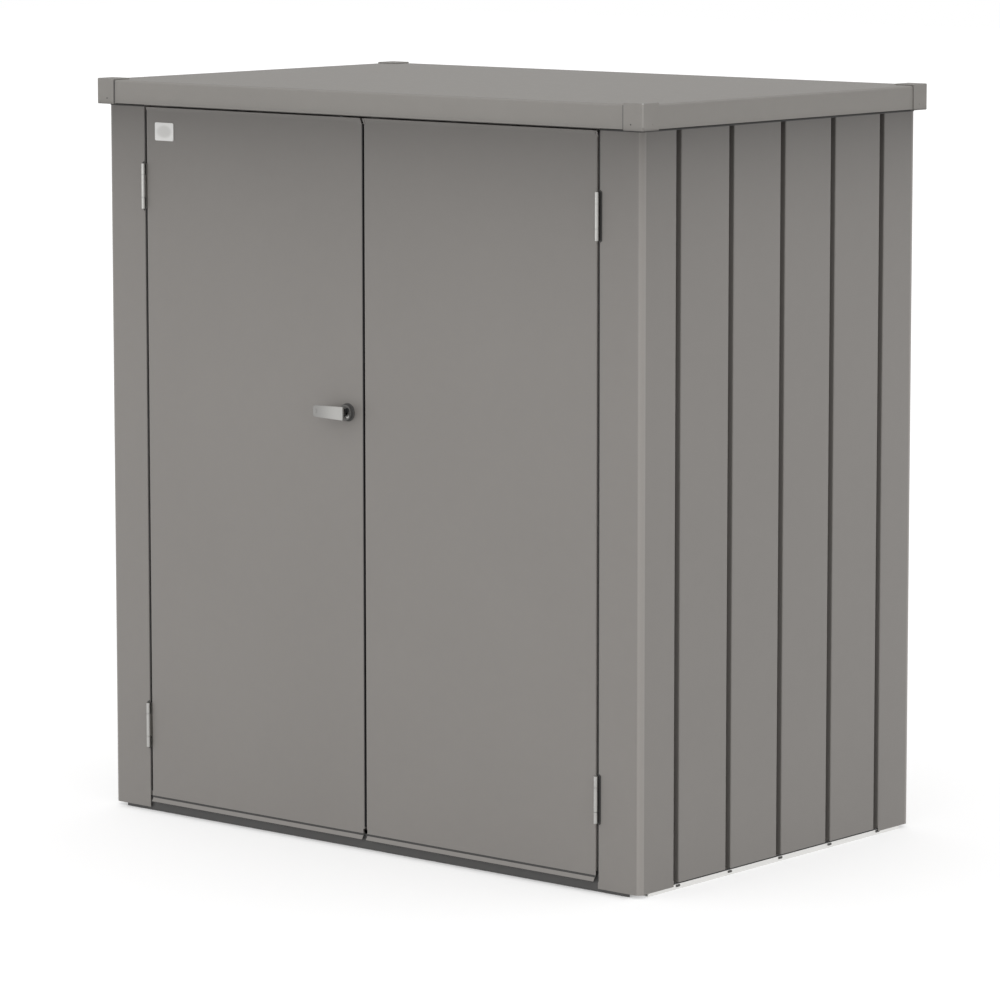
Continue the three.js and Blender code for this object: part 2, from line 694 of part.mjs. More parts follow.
// Both halves of one right-hand door hinge: the frame half keeps the pin
function doorHinge(height) {
  const bottom = height - HINGE_LENGTH / 2;
  const top = height + HINGE_LENGTH / 2;
  const low = height - HINGE_KNUCKLE / 2;
  const high = height + HINGE_KNUCKLE / 2;
  const at = (z) => new THREE.Vector3(HINGE_X, HINGE_Y, z);
  const leafBack = BODY_FRONT + HINGE_LEAF_DEPTH;
  const leafFront = HINGE_Y + HINGE_LEAF_CLEARANCE;

  const frameLeaf = [DOORWAY_SIDE - SEAT - HINGE_LEAF, DOORWAY_SIDE - SEAT];
  const frameHalf = join(
    bar(at(bottom), at(low - HINGE_KNUCKLE_GAP), HINGE_RADIUS),
    bar(at(high + HINGE_KNUCKLE_GAP), at(top), HINGE_RADIUS),
    bar(at(bottom), at(top), HINGE_PIN_RADIUS),
    block(frameLeaf, [leafFront, leafBack], [bottom, top]),
    block(frameLeaf, [HINGE_Y, leafBack], [bottom, low - HINGE_KNUCKLE_GAP]),
    block(frameLeaf, [HINGE_Y, leafBack], [high + HINGE_KNUCKLE_GAP, top])
  );

  const doorLeaf = [DOOR_OUTER + SEAT, DOOR_OUTER + SEAT + HINGE_LEAF];
  const doorHalf = cut(
    join(
      bar(at(low), at(high), HINGE_RADIUS),
      block(doorLeaf, [HINGE_Y, leafBack], [low, high]),
      block(doorLeaf, [leafFront, leafBack], [bottom, top])
    ),
    bar(at(low - OVERRUN), at(high + OVERRUN), HINGE_BORE_RADIUS)
  );
  return [frameHalf, doorHalf];
}

function addDoorHinges() {
  const [upperFrame, upperDoor] = doorHinge(DOOR_FACE_TOP - UPPER_HINGE_FROM_TOP);
  const [lowerFrame, lowerDoor] = doorHinge(DOOR_FACE_BOTTOM + LOWER_HINGE_FROM_BOTTOM);
  addPair("upper_hinge_frame_half", upperFrame, stainless);
  addPair("upper_hinge_door_half", upperDoor, stainless);
  addPair("lower_hinge_frame_half", lowerFrame, stainless);
  addPair("lower_hinge_door_half", lowerDoor, stainless);
}

// Turns a profile of [radius, stand-off from the door's face] around the lock's axis
function turnedOnLock(profile) {
  const points = profile.map(([radius, standOff]) => new THREE.Vector2(radius, -standOff));
  return new THREE.LatheGeometry(points, ROUND_SIDES).translate(LOCK_X, BODY_FRONT, LOCK_HEIGHT);
}

function leverOutline() {
  const heel = LOCK_X + LEVER_HEEL;
  const tip = LOCK_X - LEVER_REACH;
  const low = LOCK_HEIGHT - LEVER_HALF_HEIGHT;
  const high = LOCK_HEIGHT + LEVER_HALF_HEIGHT;
  const waist = LOCK_X - LEVER_HEEL / 2;
  const tipTop = low + LEVER_TIP_HEIGHT;
  const tipRound = LEVER_TIP_HEIGHT / 3;
  const shape = new THREE.Shape();
  shape.moveTo(heel - LEVER_ROUND, low);
  shape.quadraticCurveTo(heel, low, heel, low + LEVER_ROUND);
  shape.lineTo(heel, high - LEVER_ROUND);
  shape.quadraticCurveTo(heel, high, heel - LEVER_ROUND, high);
  shape.quadraticCurveTo(waist, high - 2 * LEVER_WAIST, waist - LEVER_HEEL, high - 2 * LEVER_WAIST);
  shape.lineTo(tip + tipRound, tipTop);
  shape.quadraticCurveTo(tip, tipTop, tip, tipTop - tipRound);
  shape.lineTo(tip, low + tipRound);
  shape.quadraticCurveTo(tip, low, tip + tipRound, low);
  shape.closePath();
  return shape;
}

// Half-width of a straight-sided rack tooth at a height above or below the pitch line
function toothHalf(above) {
  return PITCH / 4 - TOOTH_CLEARANCE / 2 - above * Math.tan(PRESSURE);
}

// Pinion outline, its teeth cut by the flanks of the rack that rolls on it
function pinionSection() {
  const tip = PINION_RADIUS + MODULE * ADDENDUM_SHARE;
  const root = PINION_RADIUS - MODULE * DEDENDUM_SHARE;
  const base = PINION_RADIUS * Math.cos(PRESSURE);
  const involute = (radius) => {
    if (radius <= base) return 0;
    const roll = Math.sqrt((radius / base) ** 2 - 1);
    return roll - Math.atan(roll);
  };
  const pitchHalf = (PITCH / 4 - TOOTH_CLEARANCE / 2) / PINION_RADIUS;
  const halfAngle = (radius) => pitchHalf + involute(PINION_RADIUS) - involute(radius);
  const points = [];
  for (let tooth = 0; tooth < PINION_TEETH; tooth += 1) {
    const middle = (2 * Math.PI * tooth) / PINION_TEETH;
    const radii = [root, base, PINION_RADIUS, (PINION_RADIUS + tip) / 2, tip];
    const flank = radii.map((radius) => [radius, halfAngle(radius)]);
    flank.forEach(([radius, half]) => points.push([radius, middle - half]));
    flank.reverse().forEach(([radius, half]) => points.push([radius, middle + half]));
  }
  return new THREE.Shape(
    points.map(([radius, angle]) =>
      new THREE.Vector2(LOCK_X + radius * Math.cos(angle), LOCK_HEIGHT + radius * Math.sin(angle))
    )
  );
}

// Toothed bar beside the pinion: side is -1 on its left and 1 on its right
function rack(side) {
  const pitchLine = LOCK_X + side * PINION_RADIUS;
  const tip = pitchLine - side * MODULE * ADDENDUM_SHARE;
  const root = pitchLine + side * MODULE * DEDENDUM_SHARE;
  const back = root + side * RACK_BACK;
  const low = LOCK_HEIGHT - (side < 0 ? RACK_LENGTH / 4 : (RACK_LENGTH * 3) / 4);
  const high = low + RACK_LENGTH;
  const points = [[root, low]];
  const first = Math.ceil((low - LOCK_HEIGHT) / PITCH);
  for (let tooth = first; LOCK_HEIGHT + (tooth + 1) * PITCH < high; tooth += 1) {
    const middle = LOCK_HEIGHT + (tooth + 1 / 2) * PITCH;
    const rootHalf = toothHalf(-MODULE * DEDENDUM_SHARE);
    const tipHalf = toothHalf(MODULE * ADDENDUM_SHARE);
    points.push([root, middle - rootHalf], [tip, middle - tipHalf]);
    points.push([tip, middle + tipHalf], [root, middle + rootHalf]);
  }
  points.push([root, high], [back, high], [back, low]);
  const shape = new THREE.Shape(points.map(([x, z]) => new THREE.Vector2(x, z)));
  const front = BODY_FRONT + PINION_DEPTH;
  return alongY(shape, front, front + PINION_THICKNESS);
}

function addLock() {
  const bore = SPINDLE_RADIUS + SPINDLE_CLEARANCE;
  add(
    "handle_rosette",
    turnedOnLock([
      [bore, SEAT],
      [bore, ROSETTE_HEIGHT],
      [ROSETTE_BOSS_RADIUS, ROSETTE_HEIGHT],
      [ROSETTE_BOSS_RADIUS, ROSETTE_FLANGE + SHEET],
      [ROSETTE_RADIUS, ROSETTE_FLANGE],
      [ROSETTE_RADIUS, SEAT],
      [bore, SEAT],
    ]),
    stainless
  );

  const leverBack = BODY_FRONT - LEVER_STAND_OFF;
  const blade = alongY(leverOutline(), leverBack - LEVER_THICKNESS, leverBack);
  const at = (y) => new THREE.Vector3(LOCK_X, y, LOCK_HEIGHT);
  const inBlade = at(leverBack - LEVER_THICKNESS / 2);
  const neck = bar(inBlade, at(BODY_FRONT - ROSETTE_HEIGHT - SEAT), NECK_RADIUS, ROUND_SIDES);
  const spindle = bar(inBlade, at(BODY_FRONT + SHEET + BRACE_DEPTH), SPINDLE_RADIUS);
  add("lever_handle", join(blade, neck, spindle), stainless);

  const front = BODY_FRONT + PINION_DEPTH;
  const wheel = alongY(pinionSection(), front, front + PINION_THICKNESS);
  add("lock_pinion", cut(wheel, spindleHole(SPINDLE_RADIUS + SEAT)), zinc);

  const rodAt = (side, z) => new THREE.Vector3(LOCK_X + side * ROD_OFFSET, rodDepth(), z);
  const upper = bar(rodAt(-1, LOCK_HEIGHT), rodAt(-1, FRONT_WEB - SHEET - ROD_TIP_GAP / 2), ROD_RADIUS);
  const lower = bar(rodAt(1, LOCK_HEIGHT), rodAt(1, PLINTH_HEIGHT + ROD_TIP_GAP), ROD_RADIUS);
  add("upper_lock_rod", join(rack(-1), upper), zinc);
  add("lower_lock_rod", join(rack(1), lower), zinc);
}

// Closed thin shell through rectangles of [half width, half depth, height]: its first and last
// rectangles are filled in
function trayThrough(rectangles, cornerRound) {
  const positions = [];
  const faces = [];
  const ringSize = 4 * (BEND_STEPS + 1);
  rectangles.forEach(([halfX, halfY, z]) => {
    for (let corner = 0; corner < 4; corner += 1) {
      const signX = corner === 0 || corner === 3 ? 1 : -1;
      const signY = corner < 2 ? 1 : -1;
      for (let step = 0; step <= BEND_STEPS; step += 1) {
        const angle = QUARTER * (corner + step / BEND_STEPS);
        const x = signX * (halfX - cornerRound) + cornerRound * Math.cos(angle);
        const y = signY * (halfY - cornerRound) + cornerRound * Math.sin(angle);
        positions.push(x, y, z);
      }
    }
  });
  for (let ring = 0; ring + 1 < rectangles.length; ring += 1) {
    for (let i = 0; i < ringSize; i += 1) {
      const a = ring * ringSize + i;
      const b = ring * ringSize + ((i + 1) % ringSize);
      faces.push(a, b + ringSize, b, a, a + ringSize, b + ringSize);
    }
  }
  const last = (rectangles.length - 1) * ringSize;
  for (let i = 1; i + 1 < ringSize; i += 1) {
    faces.push(0, i, i + 1);
    faces.push(last, last + i + 1, last + i);
  }
  const geometry = new THREE.BufferGeometry();
  geometry.setAttribute("position", new THREE.Float32BufferAttribute(positions, 3));
  geometry.setIndex(faces);
  return geometry;
}

// Folded roof sheet: top, bend, fascia and its slightly flared lower edge
function addRoof() {
  const at = (inset, z) => [FASCIA_SIDE - inset, FASCIA_BACK - inset, z];
  const outside = [];
  const inside = [];
  for (let step = 0; step <= BEND_STEPS; step += 1) {
    const angle = (QUARTER * step) / BEND_STEPS;
    const [sine, rest] = [Math.sin(angle), 1 - Math.cos(angle)];
    outside.push(at(ROOF_ROUND * (1 - sine), ROOF_TOP - ROOF_ROUND * rest));
    const inner = ROOF_ROUND - SHEET;
    inside.unshift(at(SHEET + inner * (1 - sine), ROOF_UNDERSIDE - inner * rest));
  }
  const flareTop = FASCIA_BOTTOM + FASCIA_FLARE_HEIGHT;
  const rectangles = [
    ...outside,
    at(0, flareTop),
    at(-FASCIA_FLARE, FASCIA_BOTTOM),
    at(SHEET - FASCIA_FLARE, FASCIA_BOTTOM),
    at(SHEET, flareTop),
    ...inside,
  ];
  add("roof_sheet", trayThrough(rectangles, SHEET), coat);
}

// Moulded cap over one corner of the roof
function addCaps() {
  const [side, back] = [LID_SIDE, LID_BACK];
  const bottom = FASCIA_BOTTOM - SEAT - CAP_LIP_THICKNESS;
  const outline = new THREE.Shape();
  const e = CAP_EDGE_ROUND;
  outline.moveTo(side - CAP_SIZE + e, back - CAP_SIZE + e);
  outline.lineTo(side - e, back - CAP_SIZE + e);
  outline.absarc(side - CAP_ROUND - e, back - CAP_ROUND - e, CAP_ROUND, 0, QUARTER);
  outline.lineTo(side - CAP_SIZE + e, back - e);
  const outer = new THREE.ExtrudeGeometry(outline, {
    depth: TOTAL_HEIGHT - bottom - 2 * e,
    bevelThickness: e,
    bevelSize: e,
    bevelSegments: 2,
    curveSegments: BEND_STEPS,
  }).translate(0, 0, bottom + e);
  const far = [-OVERRUN, side - CAP_WALL];
  const farBack = [-OVERRUN, back - CAP_WALL];
  const room = block(far, farBack, [FASCIA_BOTTOM - SEAT, TOTAL_HEIGHT - CAP_WALL]);
  const flareRoom = block(
    [0, side - CAP_WALL + FASCIA_FLARE],
    [0, back - CAP_WALL + FASCIA_FLARE],
    [FASCIA_BOTTOM - SEAT, FASCIA_BOTTOM + FASCIA_FLARE_HEIGHT]
  );
  const below = block([0, side - CAP_LIP], [0, back - CAP_LIP], [0, FASCIA_BOTTOM]);
  const backRight = cut(outer, room, flareRoom, below);
  addPair("back_cap", backRight, coat);
  const frontLeft = backRight.clone().rotateZ(2 * QUARTER);
  add("left_front_cap", frontLeft, coat);
  add("right_front_cap", mirrorX(frontLeft), coat);
}

// Channel under the roof sheet, open upwards. The closed lid rests through it on the top rails.
function ribSection(middle) {
  const high = ROOF_UNDERSIDE - SEAT;
  const low = RAIL_TOP + SEAT;
  return sheetSection(
    [
      [middle - LID_RIB_WIDTH / 2, high],
      [middle - LID_RIB_WIDTH / 2, low],
      [middle + LID_RIB_WIDTH / 2, low],
      [middle + LID_RIB_WIDTH / 2, high],
    ],
    SHEET
  );
}

function addRibs() {
  const end = FASCIA_BACK - LID_RIB_END_GAP;
  add("middle_lid_rib", alongY(ribSection(0), -end, end), coat);

  const outerSide = STRUT_X - STRUT_FROM_RIB;
  const rib = alongY(ribSection(outerSide - LID_RIB_WIDTH / 2), -end, end);
  const plateX = [outerSide - SHEET, outerSide - SHEET + STRUT_PLATE];
  const half = STRUT_PLATE_SIZE / 4;
  const { y, z } = STRUT_HEAD;
  const plate = block(plateX, [y - half, y + half], [z - half, ROOF_UNDERSIDE - SEAT]);
  const studEnd = STRUT_X - STRUT_EYE_WIDTH / 2 - SEAT;
  const stud = bar(
    new THREE.Vector3(plateX[0], y, z),
    new THREE.Vector3(studEnd, y, z),
    STUD_RADIUS
  );
  addPair("lid_rib", join(rib, plate, stud), coat);
}

// Long hinge behind the cabinet: its knuckles alternate between body and lid
function addLidHinge() {
  const start = LID_HINGE_END_GAP - BODY_SIDE;
  const pitch = (-2 * start) / LID_HINGE_KNUCKLES;
  const [axisY, axisZ] = LID_AXIS.toArray();
  const at = (x) => new THREE.Vector3(x, axisY, axisZ);
  const wallLeaf = [BODY_BACK + SEAT, BODY_BACK + SEAT + HINGE_LEAF];
  const lidLeaf = [LID_LEAF_BACK - HINGE_LEAF, LID_LEAF_BACK];
  const run = [start, -start];
  const clear = HINGE_RADIUS + HINGE_KNUCKLE_GAP;
  const bodyParts = [
    bar(at(run[0]), at(run[1]), HINGE_PIN_RADIUS),
    block(run, wallLeaf, [axisZ - LID_LEAF_HEIGHT, axisZ - clear]),
  ];
  const lidParts = [block(run, lidLeaf, [axisZ + clear, axisZ + LID_LEAF_HEIGHT])];
  const bores = [];
  for (let i = 0; i < LID_HINGE_KNUCKLES; i += 1) {
    const ends = [start + i * pitch, start + (i + 1) * pitch];
    const inner = [ends[0] + HINGE_KNUCKLE_GAP / 2, ends[1] - HINGE_KNUCKLE_GAP / 2];
    const knuckle = bar(at(inner[0]), at(inner[1]), HINGE_RADIUS);
    if (i % 2 === 0) {
      bodyParts.push(knuckle);
      bodyParts.push(block(inner, [wallLeaf[0], axisY], [axisZ - HINGE_LEAF / 2, axisZ + HINGE_LEAF / 2]));
      bodyParts.push(block(inner, wallLeaf, [axisZ - clear - OVERRUN, axisZ + HINGE_LEAF / 2]));
    } else {
      lidParts.push(knuckle, block(inner, lidLeaf, [axisZ, axisZ + clear + OVERRUN]));
      bores.push(bar(at(ends[0]), at(ends[1]), HINGE_BORE_RADIUS));
    }
  }
  add("lid_hinge_body_half", join(...bodyParts), zinc);
  add("lid_hinge_lid_half", cut(join(...lidParts), ...bores), zinc);
}

function addStruts() {
  const [foot, head] = [STRUT_FOOT, STRUT_HEAD];
  const along = new THREE.Vector3().subVectors(head, foot).normalize();
  const from = (point, distance) => point.clone().addScaledVector(along, distance);
  const halfEye = X.clone().multiplyScalar(STRUT_EYE_WIDTH / 2);
  const eye = (centre, radius, extra = 0) => {
    const reach = halfEye.clone().addScaledVector(X, extra);
    return bar(centre.clone().sub(reach), centre.clone().add(reach), radius, ROUND_SIDES);
  };
  const studBore = STUD_RADIUS + SPINDLE_CLEARANCE;
  const [tubeStart, tubeEnd] = [from(foot, STRUT_EYE_RADIUS), from(foot, STRUT_TUBE_LENGTH)];
  const tube = cut(
    join(
      eye(foot, STRUT_EYE_RADIUS),
      bar(foot, from(foot, STRUT_BORE_END), STUD_RADIUS),
      bar(tubeStart, tubeEnd, STRUT_TUBE_RADIUS, ROUND_SIDES)
    ),
    eye(foot, studBore, OVERRUN),
    bar(from(foot, STRUT_BORE_END), from(foot, STRUT_TUBE_LENGTH + OVERRUN), STRUT_BORE_RADIUS)
  );
  addPair("strut_tube", tube, blackCoat);

  const rodStart = from(foot, STRUT_BORE_END + STRUT_ROD_SEAT);
  const rod = cut(
    join(eye(head, STRUT_EYE_RADIUS), bar(rodStart, head, STRUT_ROD_RADIUS)),
    eye(head, studBore, OVERRUN)
  );
  addPair("strut_rod", rod, stainless);
}

addBaseFrame();
addPosts();
addWallPanels();
addTopRails();
addDoors();
addDoorHinges();
addLock();
addRoof();
addCaps();
addRibs();
addLidHinge();
addStruts();

// Puts the origin under the middle of everything, the lever included
const leverFront = BODY_FRONT - LEVER_STAND_OFF - LEVER_THICKNESS;
cabinet.position.setY(-(leverFront + LID_BACK) / 2);

export default cabinet;
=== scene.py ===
"""Outdoor storage cabinet of powder-coated steel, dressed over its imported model.

The scene is in metres, with +Z up, the front towards -Y and the origin on the ground under the middle
of the cabinet. Sizes and places of the pieces are written in millimetres, and mm() turns them into
metres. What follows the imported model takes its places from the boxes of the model's nodes. The camera,
the lamps and the nodes of the finishes are in metres.
"""
import json
import math

import bmesh
import bpy
from mathutils import Matrix, Quaternion, Vector

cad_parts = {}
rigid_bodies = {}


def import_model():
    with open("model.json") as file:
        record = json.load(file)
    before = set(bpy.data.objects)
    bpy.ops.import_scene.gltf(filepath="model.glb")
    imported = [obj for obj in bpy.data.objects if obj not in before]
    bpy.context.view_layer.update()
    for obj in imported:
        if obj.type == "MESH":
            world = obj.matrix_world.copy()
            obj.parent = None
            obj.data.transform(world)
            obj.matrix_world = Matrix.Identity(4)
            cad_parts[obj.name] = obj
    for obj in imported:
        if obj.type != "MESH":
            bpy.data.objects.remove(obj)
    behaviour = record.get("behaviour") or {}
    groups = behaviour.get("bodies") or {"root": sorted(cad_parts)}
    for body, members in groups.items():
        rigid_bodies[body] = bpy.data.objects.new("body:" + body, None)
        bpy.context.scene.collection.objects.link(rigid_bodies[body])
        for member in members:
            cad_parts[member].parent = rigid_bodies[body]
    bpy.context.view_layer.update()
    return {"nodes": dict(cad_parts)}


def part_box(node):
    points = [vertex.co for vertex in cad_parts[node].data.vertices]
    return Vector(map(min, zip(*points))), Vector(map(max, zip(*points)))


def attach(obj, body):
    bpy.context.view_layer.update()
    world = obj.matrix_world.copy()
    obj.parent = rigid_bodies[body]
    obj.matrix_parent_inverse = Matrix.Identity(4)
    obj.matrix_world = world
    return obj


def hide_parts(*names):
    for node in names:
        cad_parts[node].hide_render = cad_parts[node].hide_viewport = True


for leftover in list(bpy.data.objects):
    bpy.data.objects.remove(leftover)
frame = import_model()


def mm(*values):
    """Millimetres as a vector in metres."""
    return Vector(value / 1000 for value in values)


def box_mm(name):
    """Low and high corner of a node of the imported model, in millimetres."""
    return [[round(value * 1000, 3) for value in corner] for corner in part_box(name)]


def link_to_scene(name, data):
    """A new object with a mesh, a lamp or a camera, in the scene."""
    made = bpy.data.objects.new(name, data)
    bpy.context.scene.collection.objects.link(made)
    return made


X, Y, Z = range(3)
FORWARD, BACKWARD, UPWARD = (0, -1, 0), (0, 1, 0), (0, 0, 1)
SIDES = ((1, "right"), (-1, "left"))

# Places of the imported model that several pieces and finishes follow, in millimetres
(post_inner, door_face, _), (wall_side, _, _) = box_mm("right_front_post")
wall_back = box_mm("right_back_post")[1][Y]
middle_y = (door_face + wall_back) / 2
(_, lid_front, lid_foot), (lid_side, lid_back, lid_top) = box_mm("roof_sheet")
(cap_inner, cap_front, _), (cap_side, _, cap_top) = box_mm("right_front_cap")
cap_back = box_mm("right_back_cap")[1][Y]
rosette_low, rosette_high = box_mm("handle_rosette")
rosette_front = rosette_low[Y]
hub_x = (rosette_low[X] + rosette_high[X]) / 2
hub_z = (rosette_low[Z] + rosette_high[Z]) / 2


# Camera

def photo_camera():
    """Stands where the photograph was taken, with its long lens."""
    data = bpy.data.cameras.new("photo_camera")
    data.lens = 171.638
    data.shift_y = -0.08
    data.sensor_width = 36
    data.clip_end = 100
    camera = link_to_scene("photo_camera", data)
    camera.location = (5.74927, -6.81043, 1.86942)
    target = Vector((-0.01171, -0.00007, 0.75777))
    level = (target - camera.location).to_track_quat("-Z", "Y")
    line_of_sight = (0, 0, 1)
    roll = Quaternion(line_of_sight, math.radians(-0.0244))
    camera.rotation_mode = "QUATERNION"
    camera.rotation_quaternion = level @ roll
    bpy.context.scene.camera = camera


photo_camera()


# Finishes

class Wire:
    """A value inside a finish, which sums and comparisons turn into Math nodes."""

    def __init__(self, finish, socket):
        self.finish = finish
        self.socket = socket

    def math(self, operation, first, second):
        return self.finish.node("ShaderNodeMath", {"operation": operation}, {0: first, 1: second})

    def __add__(self, other):
        return self.math("ADD", self, other)

    def __sub__(self, other):
        return self.math("SUBTRACT", self, other)

    def __rsub__(self, other):
        return self.math("SUBTRACT", other, self)

    def __mul__(self, other):
        return self.math("MULTIPLY", self, other)

    def __abs__(self):
        return self.math("ABSOLUTE", self, 0)

    def __gt__(self, other):
        return self.math("GREATER_THAN", self, other)

    __radd__ = __add__
    __rmul__ = __mul__


class Finish:
    """The nodes of one material or of the world."""

    def __init__(self, owner):
        owner.use_nodes = True
        self.owner = owner
        self.tree = owner.node_tree
        self.tree.nodes.clear()

    def node(self, kind, settings=None, inputs=None, output=0):
        """Adds a node: its settings first, then a value or a wire for each named or numbered socket."""
        made = self.tree.nodes.new(kind)
        for name, value in (settings or {}).items():
            setattr(made, name, value)
        for name, value in (inputs or {}).items():
            if isinstance(value, Wire):
                self.tree.links.new(value.socket, made.inputs[name])
            else:
                made.inputs[name].default_value = value
        if made.outputs:
            return Wire(self, made.outputs[output])

    def place(self, stretch=(1, 1, 1)):
        """Place on the piece in metres, stretched along each axis."""
        where = self.node("ShaderNodeTexCoord", output="Object")
        return self.node("ShaderNodeVectorMath", {"operation": "MULTIPLY"}, {0: where, 1: stretch})

    def along(self, axis):
        """One coordinate of the place on the piece, in metres."""
        return self.node("ShaderNodeSeparateXYZ", None, {0: self.place()}, axis)

    def noise(self, scale, detail=2, stretch=(1, 1, 1)):
        """Smooth noise between 0 and 1, with scale lumps to the metre."""
        return self.node(
            "ShaderNodeTexNoise", None,
            {"Vector": self.place(stretch), "Scale": scale, "Detail": detail, "Roughness": 0.55},
        )

    def range(self, value, low, high, to_low=0, to_high=1):
        """Maps low to high smoothly onto to_low to to_high, and stays level outside."""
        return self.node(
            "ShaderNodeMapRange", {"interpolation_type": "SMOOTHSTEP"},
            {"Value": value, "From Min": low, "From Max": high, "To Min": to_low, "To Max": to_high},
        )

    def spot(self, x, z, half_width, half_height):
        """Squared distance from a place on an upright face, which is 1 on the ellipse of that size."""
        across = (self.along(X) - x) * (1 / half_width)
        up = (self.along(Z) - z) * (1 / half_height)
        return across * across + up * up

    def mix(self, share, first, second):
        """Goes from the first colour to the second as share goes from 0 to 1."""
        return self.node(
            "ShaderNodeMix", {"data_type": "RGBA"}, {"Factor": share, 6: first, 7: second}, 2)

    def bump(self, height, distance, strength):
        """The normal over a height between 0 and 1 that is distance metres tall."""
        return self.node(
            "ShaderNodeBump", None, {"Height": height, "Distance": distance, "Strength": strength})

    def surface(self, **sockets):
        """Closes the finish with its shader, and gives back the material.

        Underscores stand for the spaces in the names of the shader's sockets.
        """
        named = {name.replace("_", " "): value for name, value in sockets.items()}
        shader = self.node("ShaderNodeBsdfPrincipled", None, named)
        self.node("ShaderNodeOutputMaterial", None, {"Surface": shader})
        return self.owner


def new_finish(name):
    """The finish of a new material."""
    return Finish(bpy.data.materials.new(name))


def linear(*levels):
    """A colour written in the levels that a picture shows, 0 to 255, as light."""
    def light(level):
        share = level / 255
        return share / 12.92 if share <= 0.04045 else ((share + 0.055) / 1.055) ** 2.4
    return (*(light(level) for level in levels), 1)


def shade(colour, share):
    """A colour with that share of its light."""
    return (*(light * share for light in colour[:3]), 1)


def powder_tone(coat, colour):
    """Tone of a powder coat: a slow drift over the sheet, faint clouds and a fine speckle."""
    drift = coat.noise(2.3, detail=3) * 0.7
    cloud = coat.noise(38, detail=3) * 0.3
    speckle = (coat.noise(1500, detail=1) - 0.5) * 0.3
    return coat.mix(drift + cloud + speckle, shade(colour, 0.93), shade(colour, 1.07))


def powder_surface(coat, tone, rough=0.4, gloss=0.5):
    """Closes a powder coat of that tone, with the fine orange peel of a baked coat."""
    return coat.surface(
        Base_Color=tone,
        Roughness=rough - 0.05 + coat.noise(90) * 0.1,
        Specular_IOR_Level=gloss,
        Normal=coat.bump(coat.noise(620), distance=0.00002, strength=0.6),
    )


def powder_coat(name, colour):
    """Baked powder coat of one colour all over."""
    coat = new_finish(name)
    return powder_surface(coat, powder_tone(coat, colour))


def outer_bends(coat, side, depth):
    """1 on the upright bends that lie beyond side and depth from the cabinet's middle, and 0 elsewhere.

    Both are in millimetres.
    """
    rise_x, rise_y = 3.0, 2.5
    across = coat.range(abs(coat.along(X)), side / 1000, (side + rise_x) / 1000)
    deep = coat.range(abs(coat.along(Y) - middle_y / 1000), depth / 1000, (depth + rise_y) / 1000)
    return across * deep


def wall_powder_coat():
    """Coat of walls and posts, with a painted highlight on the outer bends, and painted shade on every
    face that lies more than a few millimetres inside the side and back faces: in the joints between the
    panels and on the inner faces.
    """
    coat = new_finish("wall powder coat")
    bend_x, bend_y = 8.4, 13.7
    bends = outer_bends(coat, wall_side - bend_x, wall_back - middle_y - bend_y)
    # Painted highlight: the outer bends are lightened by two fifths.
    tone = coat.mix(bends, powder_tone(coat, GREY), shade(GREY, 1.40))
    side_face, back_face = wall_side / 1000, wall_back / 1000
    brim, full_depth = 0.0002, 0.0045
    behind_doors = -0.385
    # Painted shade: darkened to 78 percent on faces deeper than full_depth inside the side and back faces.
    side = coat.range(abs(coat.along(X)), side_face - full_depth, side_face - brim, 1, 0)
    back = coat.range(coat.along(Y), back_face - full_depth, back_face - brim, 1, 0)
    joints = side * back * (coat.along(Y) > behind_doors)
    return powder_surface(coat, coat.mix(joints, tone, shade(GREY, 0.78)))


def lid_powder_coat(name, top):
    """Matt coat of the lid, with a painted highlight on the outer bends, and painted shade that darkens it
    above the height top, which is in millimetres. The bends above the roof sheet, on the corner caps,
    carry a painted glint.
    """
    coat = new_finish(name)
    bend_x, bend_y = 2.7, 2.0
    bends = outer_bends(coat, lid_side - bend_x, lid_back - middle_y - bend_y)
    # Painted highlight on the outer bends.
    tone = coat.mix(bends, powder_tone(coat, LIT_LID_GREY), shade(LIT_LID_GREY, 1.25))
    top_shade_rise, glint_rise = 0.6, 1.5
    # Painted shade: the top faces are darkened to 85 percent.
    painted_top_shade = coat.range(coat.along(Z), (top - top_shade_rise) / 1000, top / 1000)
    tone = coat.mix(painted_top_shade, tone, shade(LIT_LID_GREY, 0.85))
    # Painted glint where the bends rise above the roof sheet.
    glint = bends * coat.range(coat.along(Z), lid_top / 1000, (lid_top + glint_rise) / 1000)
    tone = coat.mix(glint, tone, (0.62, 0.62, 0.62, 1))
    return powder_surface(coat, tone, rough=0.6, gloss=0.08)


def mill_aluminium(name):
    """Extruded aluminium with fine die lines along its length."""
    metal = new_finish(name)
    lines = metal.noise(1, detail=3, stretch=(1400, 4, 1400))
    stain = metal.noise(14, detail=3)
    return metal.surface(
        Base_Color=metal.mix(lines * 0.6 + stain * 0.4, linear(222, 221, 218), linear(246, 245, 243)),
        Roughness=0.34 + stain * 0.16,
        Metallic=1.0,
        Normal=metal.bump(lines, distance=0.00003, strength=0.5),
    )


def brushed_stainless(name, dark, light, stretch=(5, 1600, 1600)):
    """Stainless steel, brushed along the axis of the least stretch."""
    metal = new_finish(name)
    brushing = metal.noise(1, detail=3, stretch=stretch)
    cloud = metal.noise(60, detail=3)
    return metal.surface(
        Base_Color=metal.mix(brushing * 0.6 + cloud * 0.4, dark, light),
        Roughness=0.27 + brushing * 0.12,
        Metallic=1.0,
        Normal=metal.bump(brushing, distance=0.00003, strength=0.4),
    )


def screw_steel(name, dark, light):
    """Steel of the screws, with an even grain in place of the brushing."""
    return brushed_stainless(name, dark, light, stretch=(600, 600, 600))


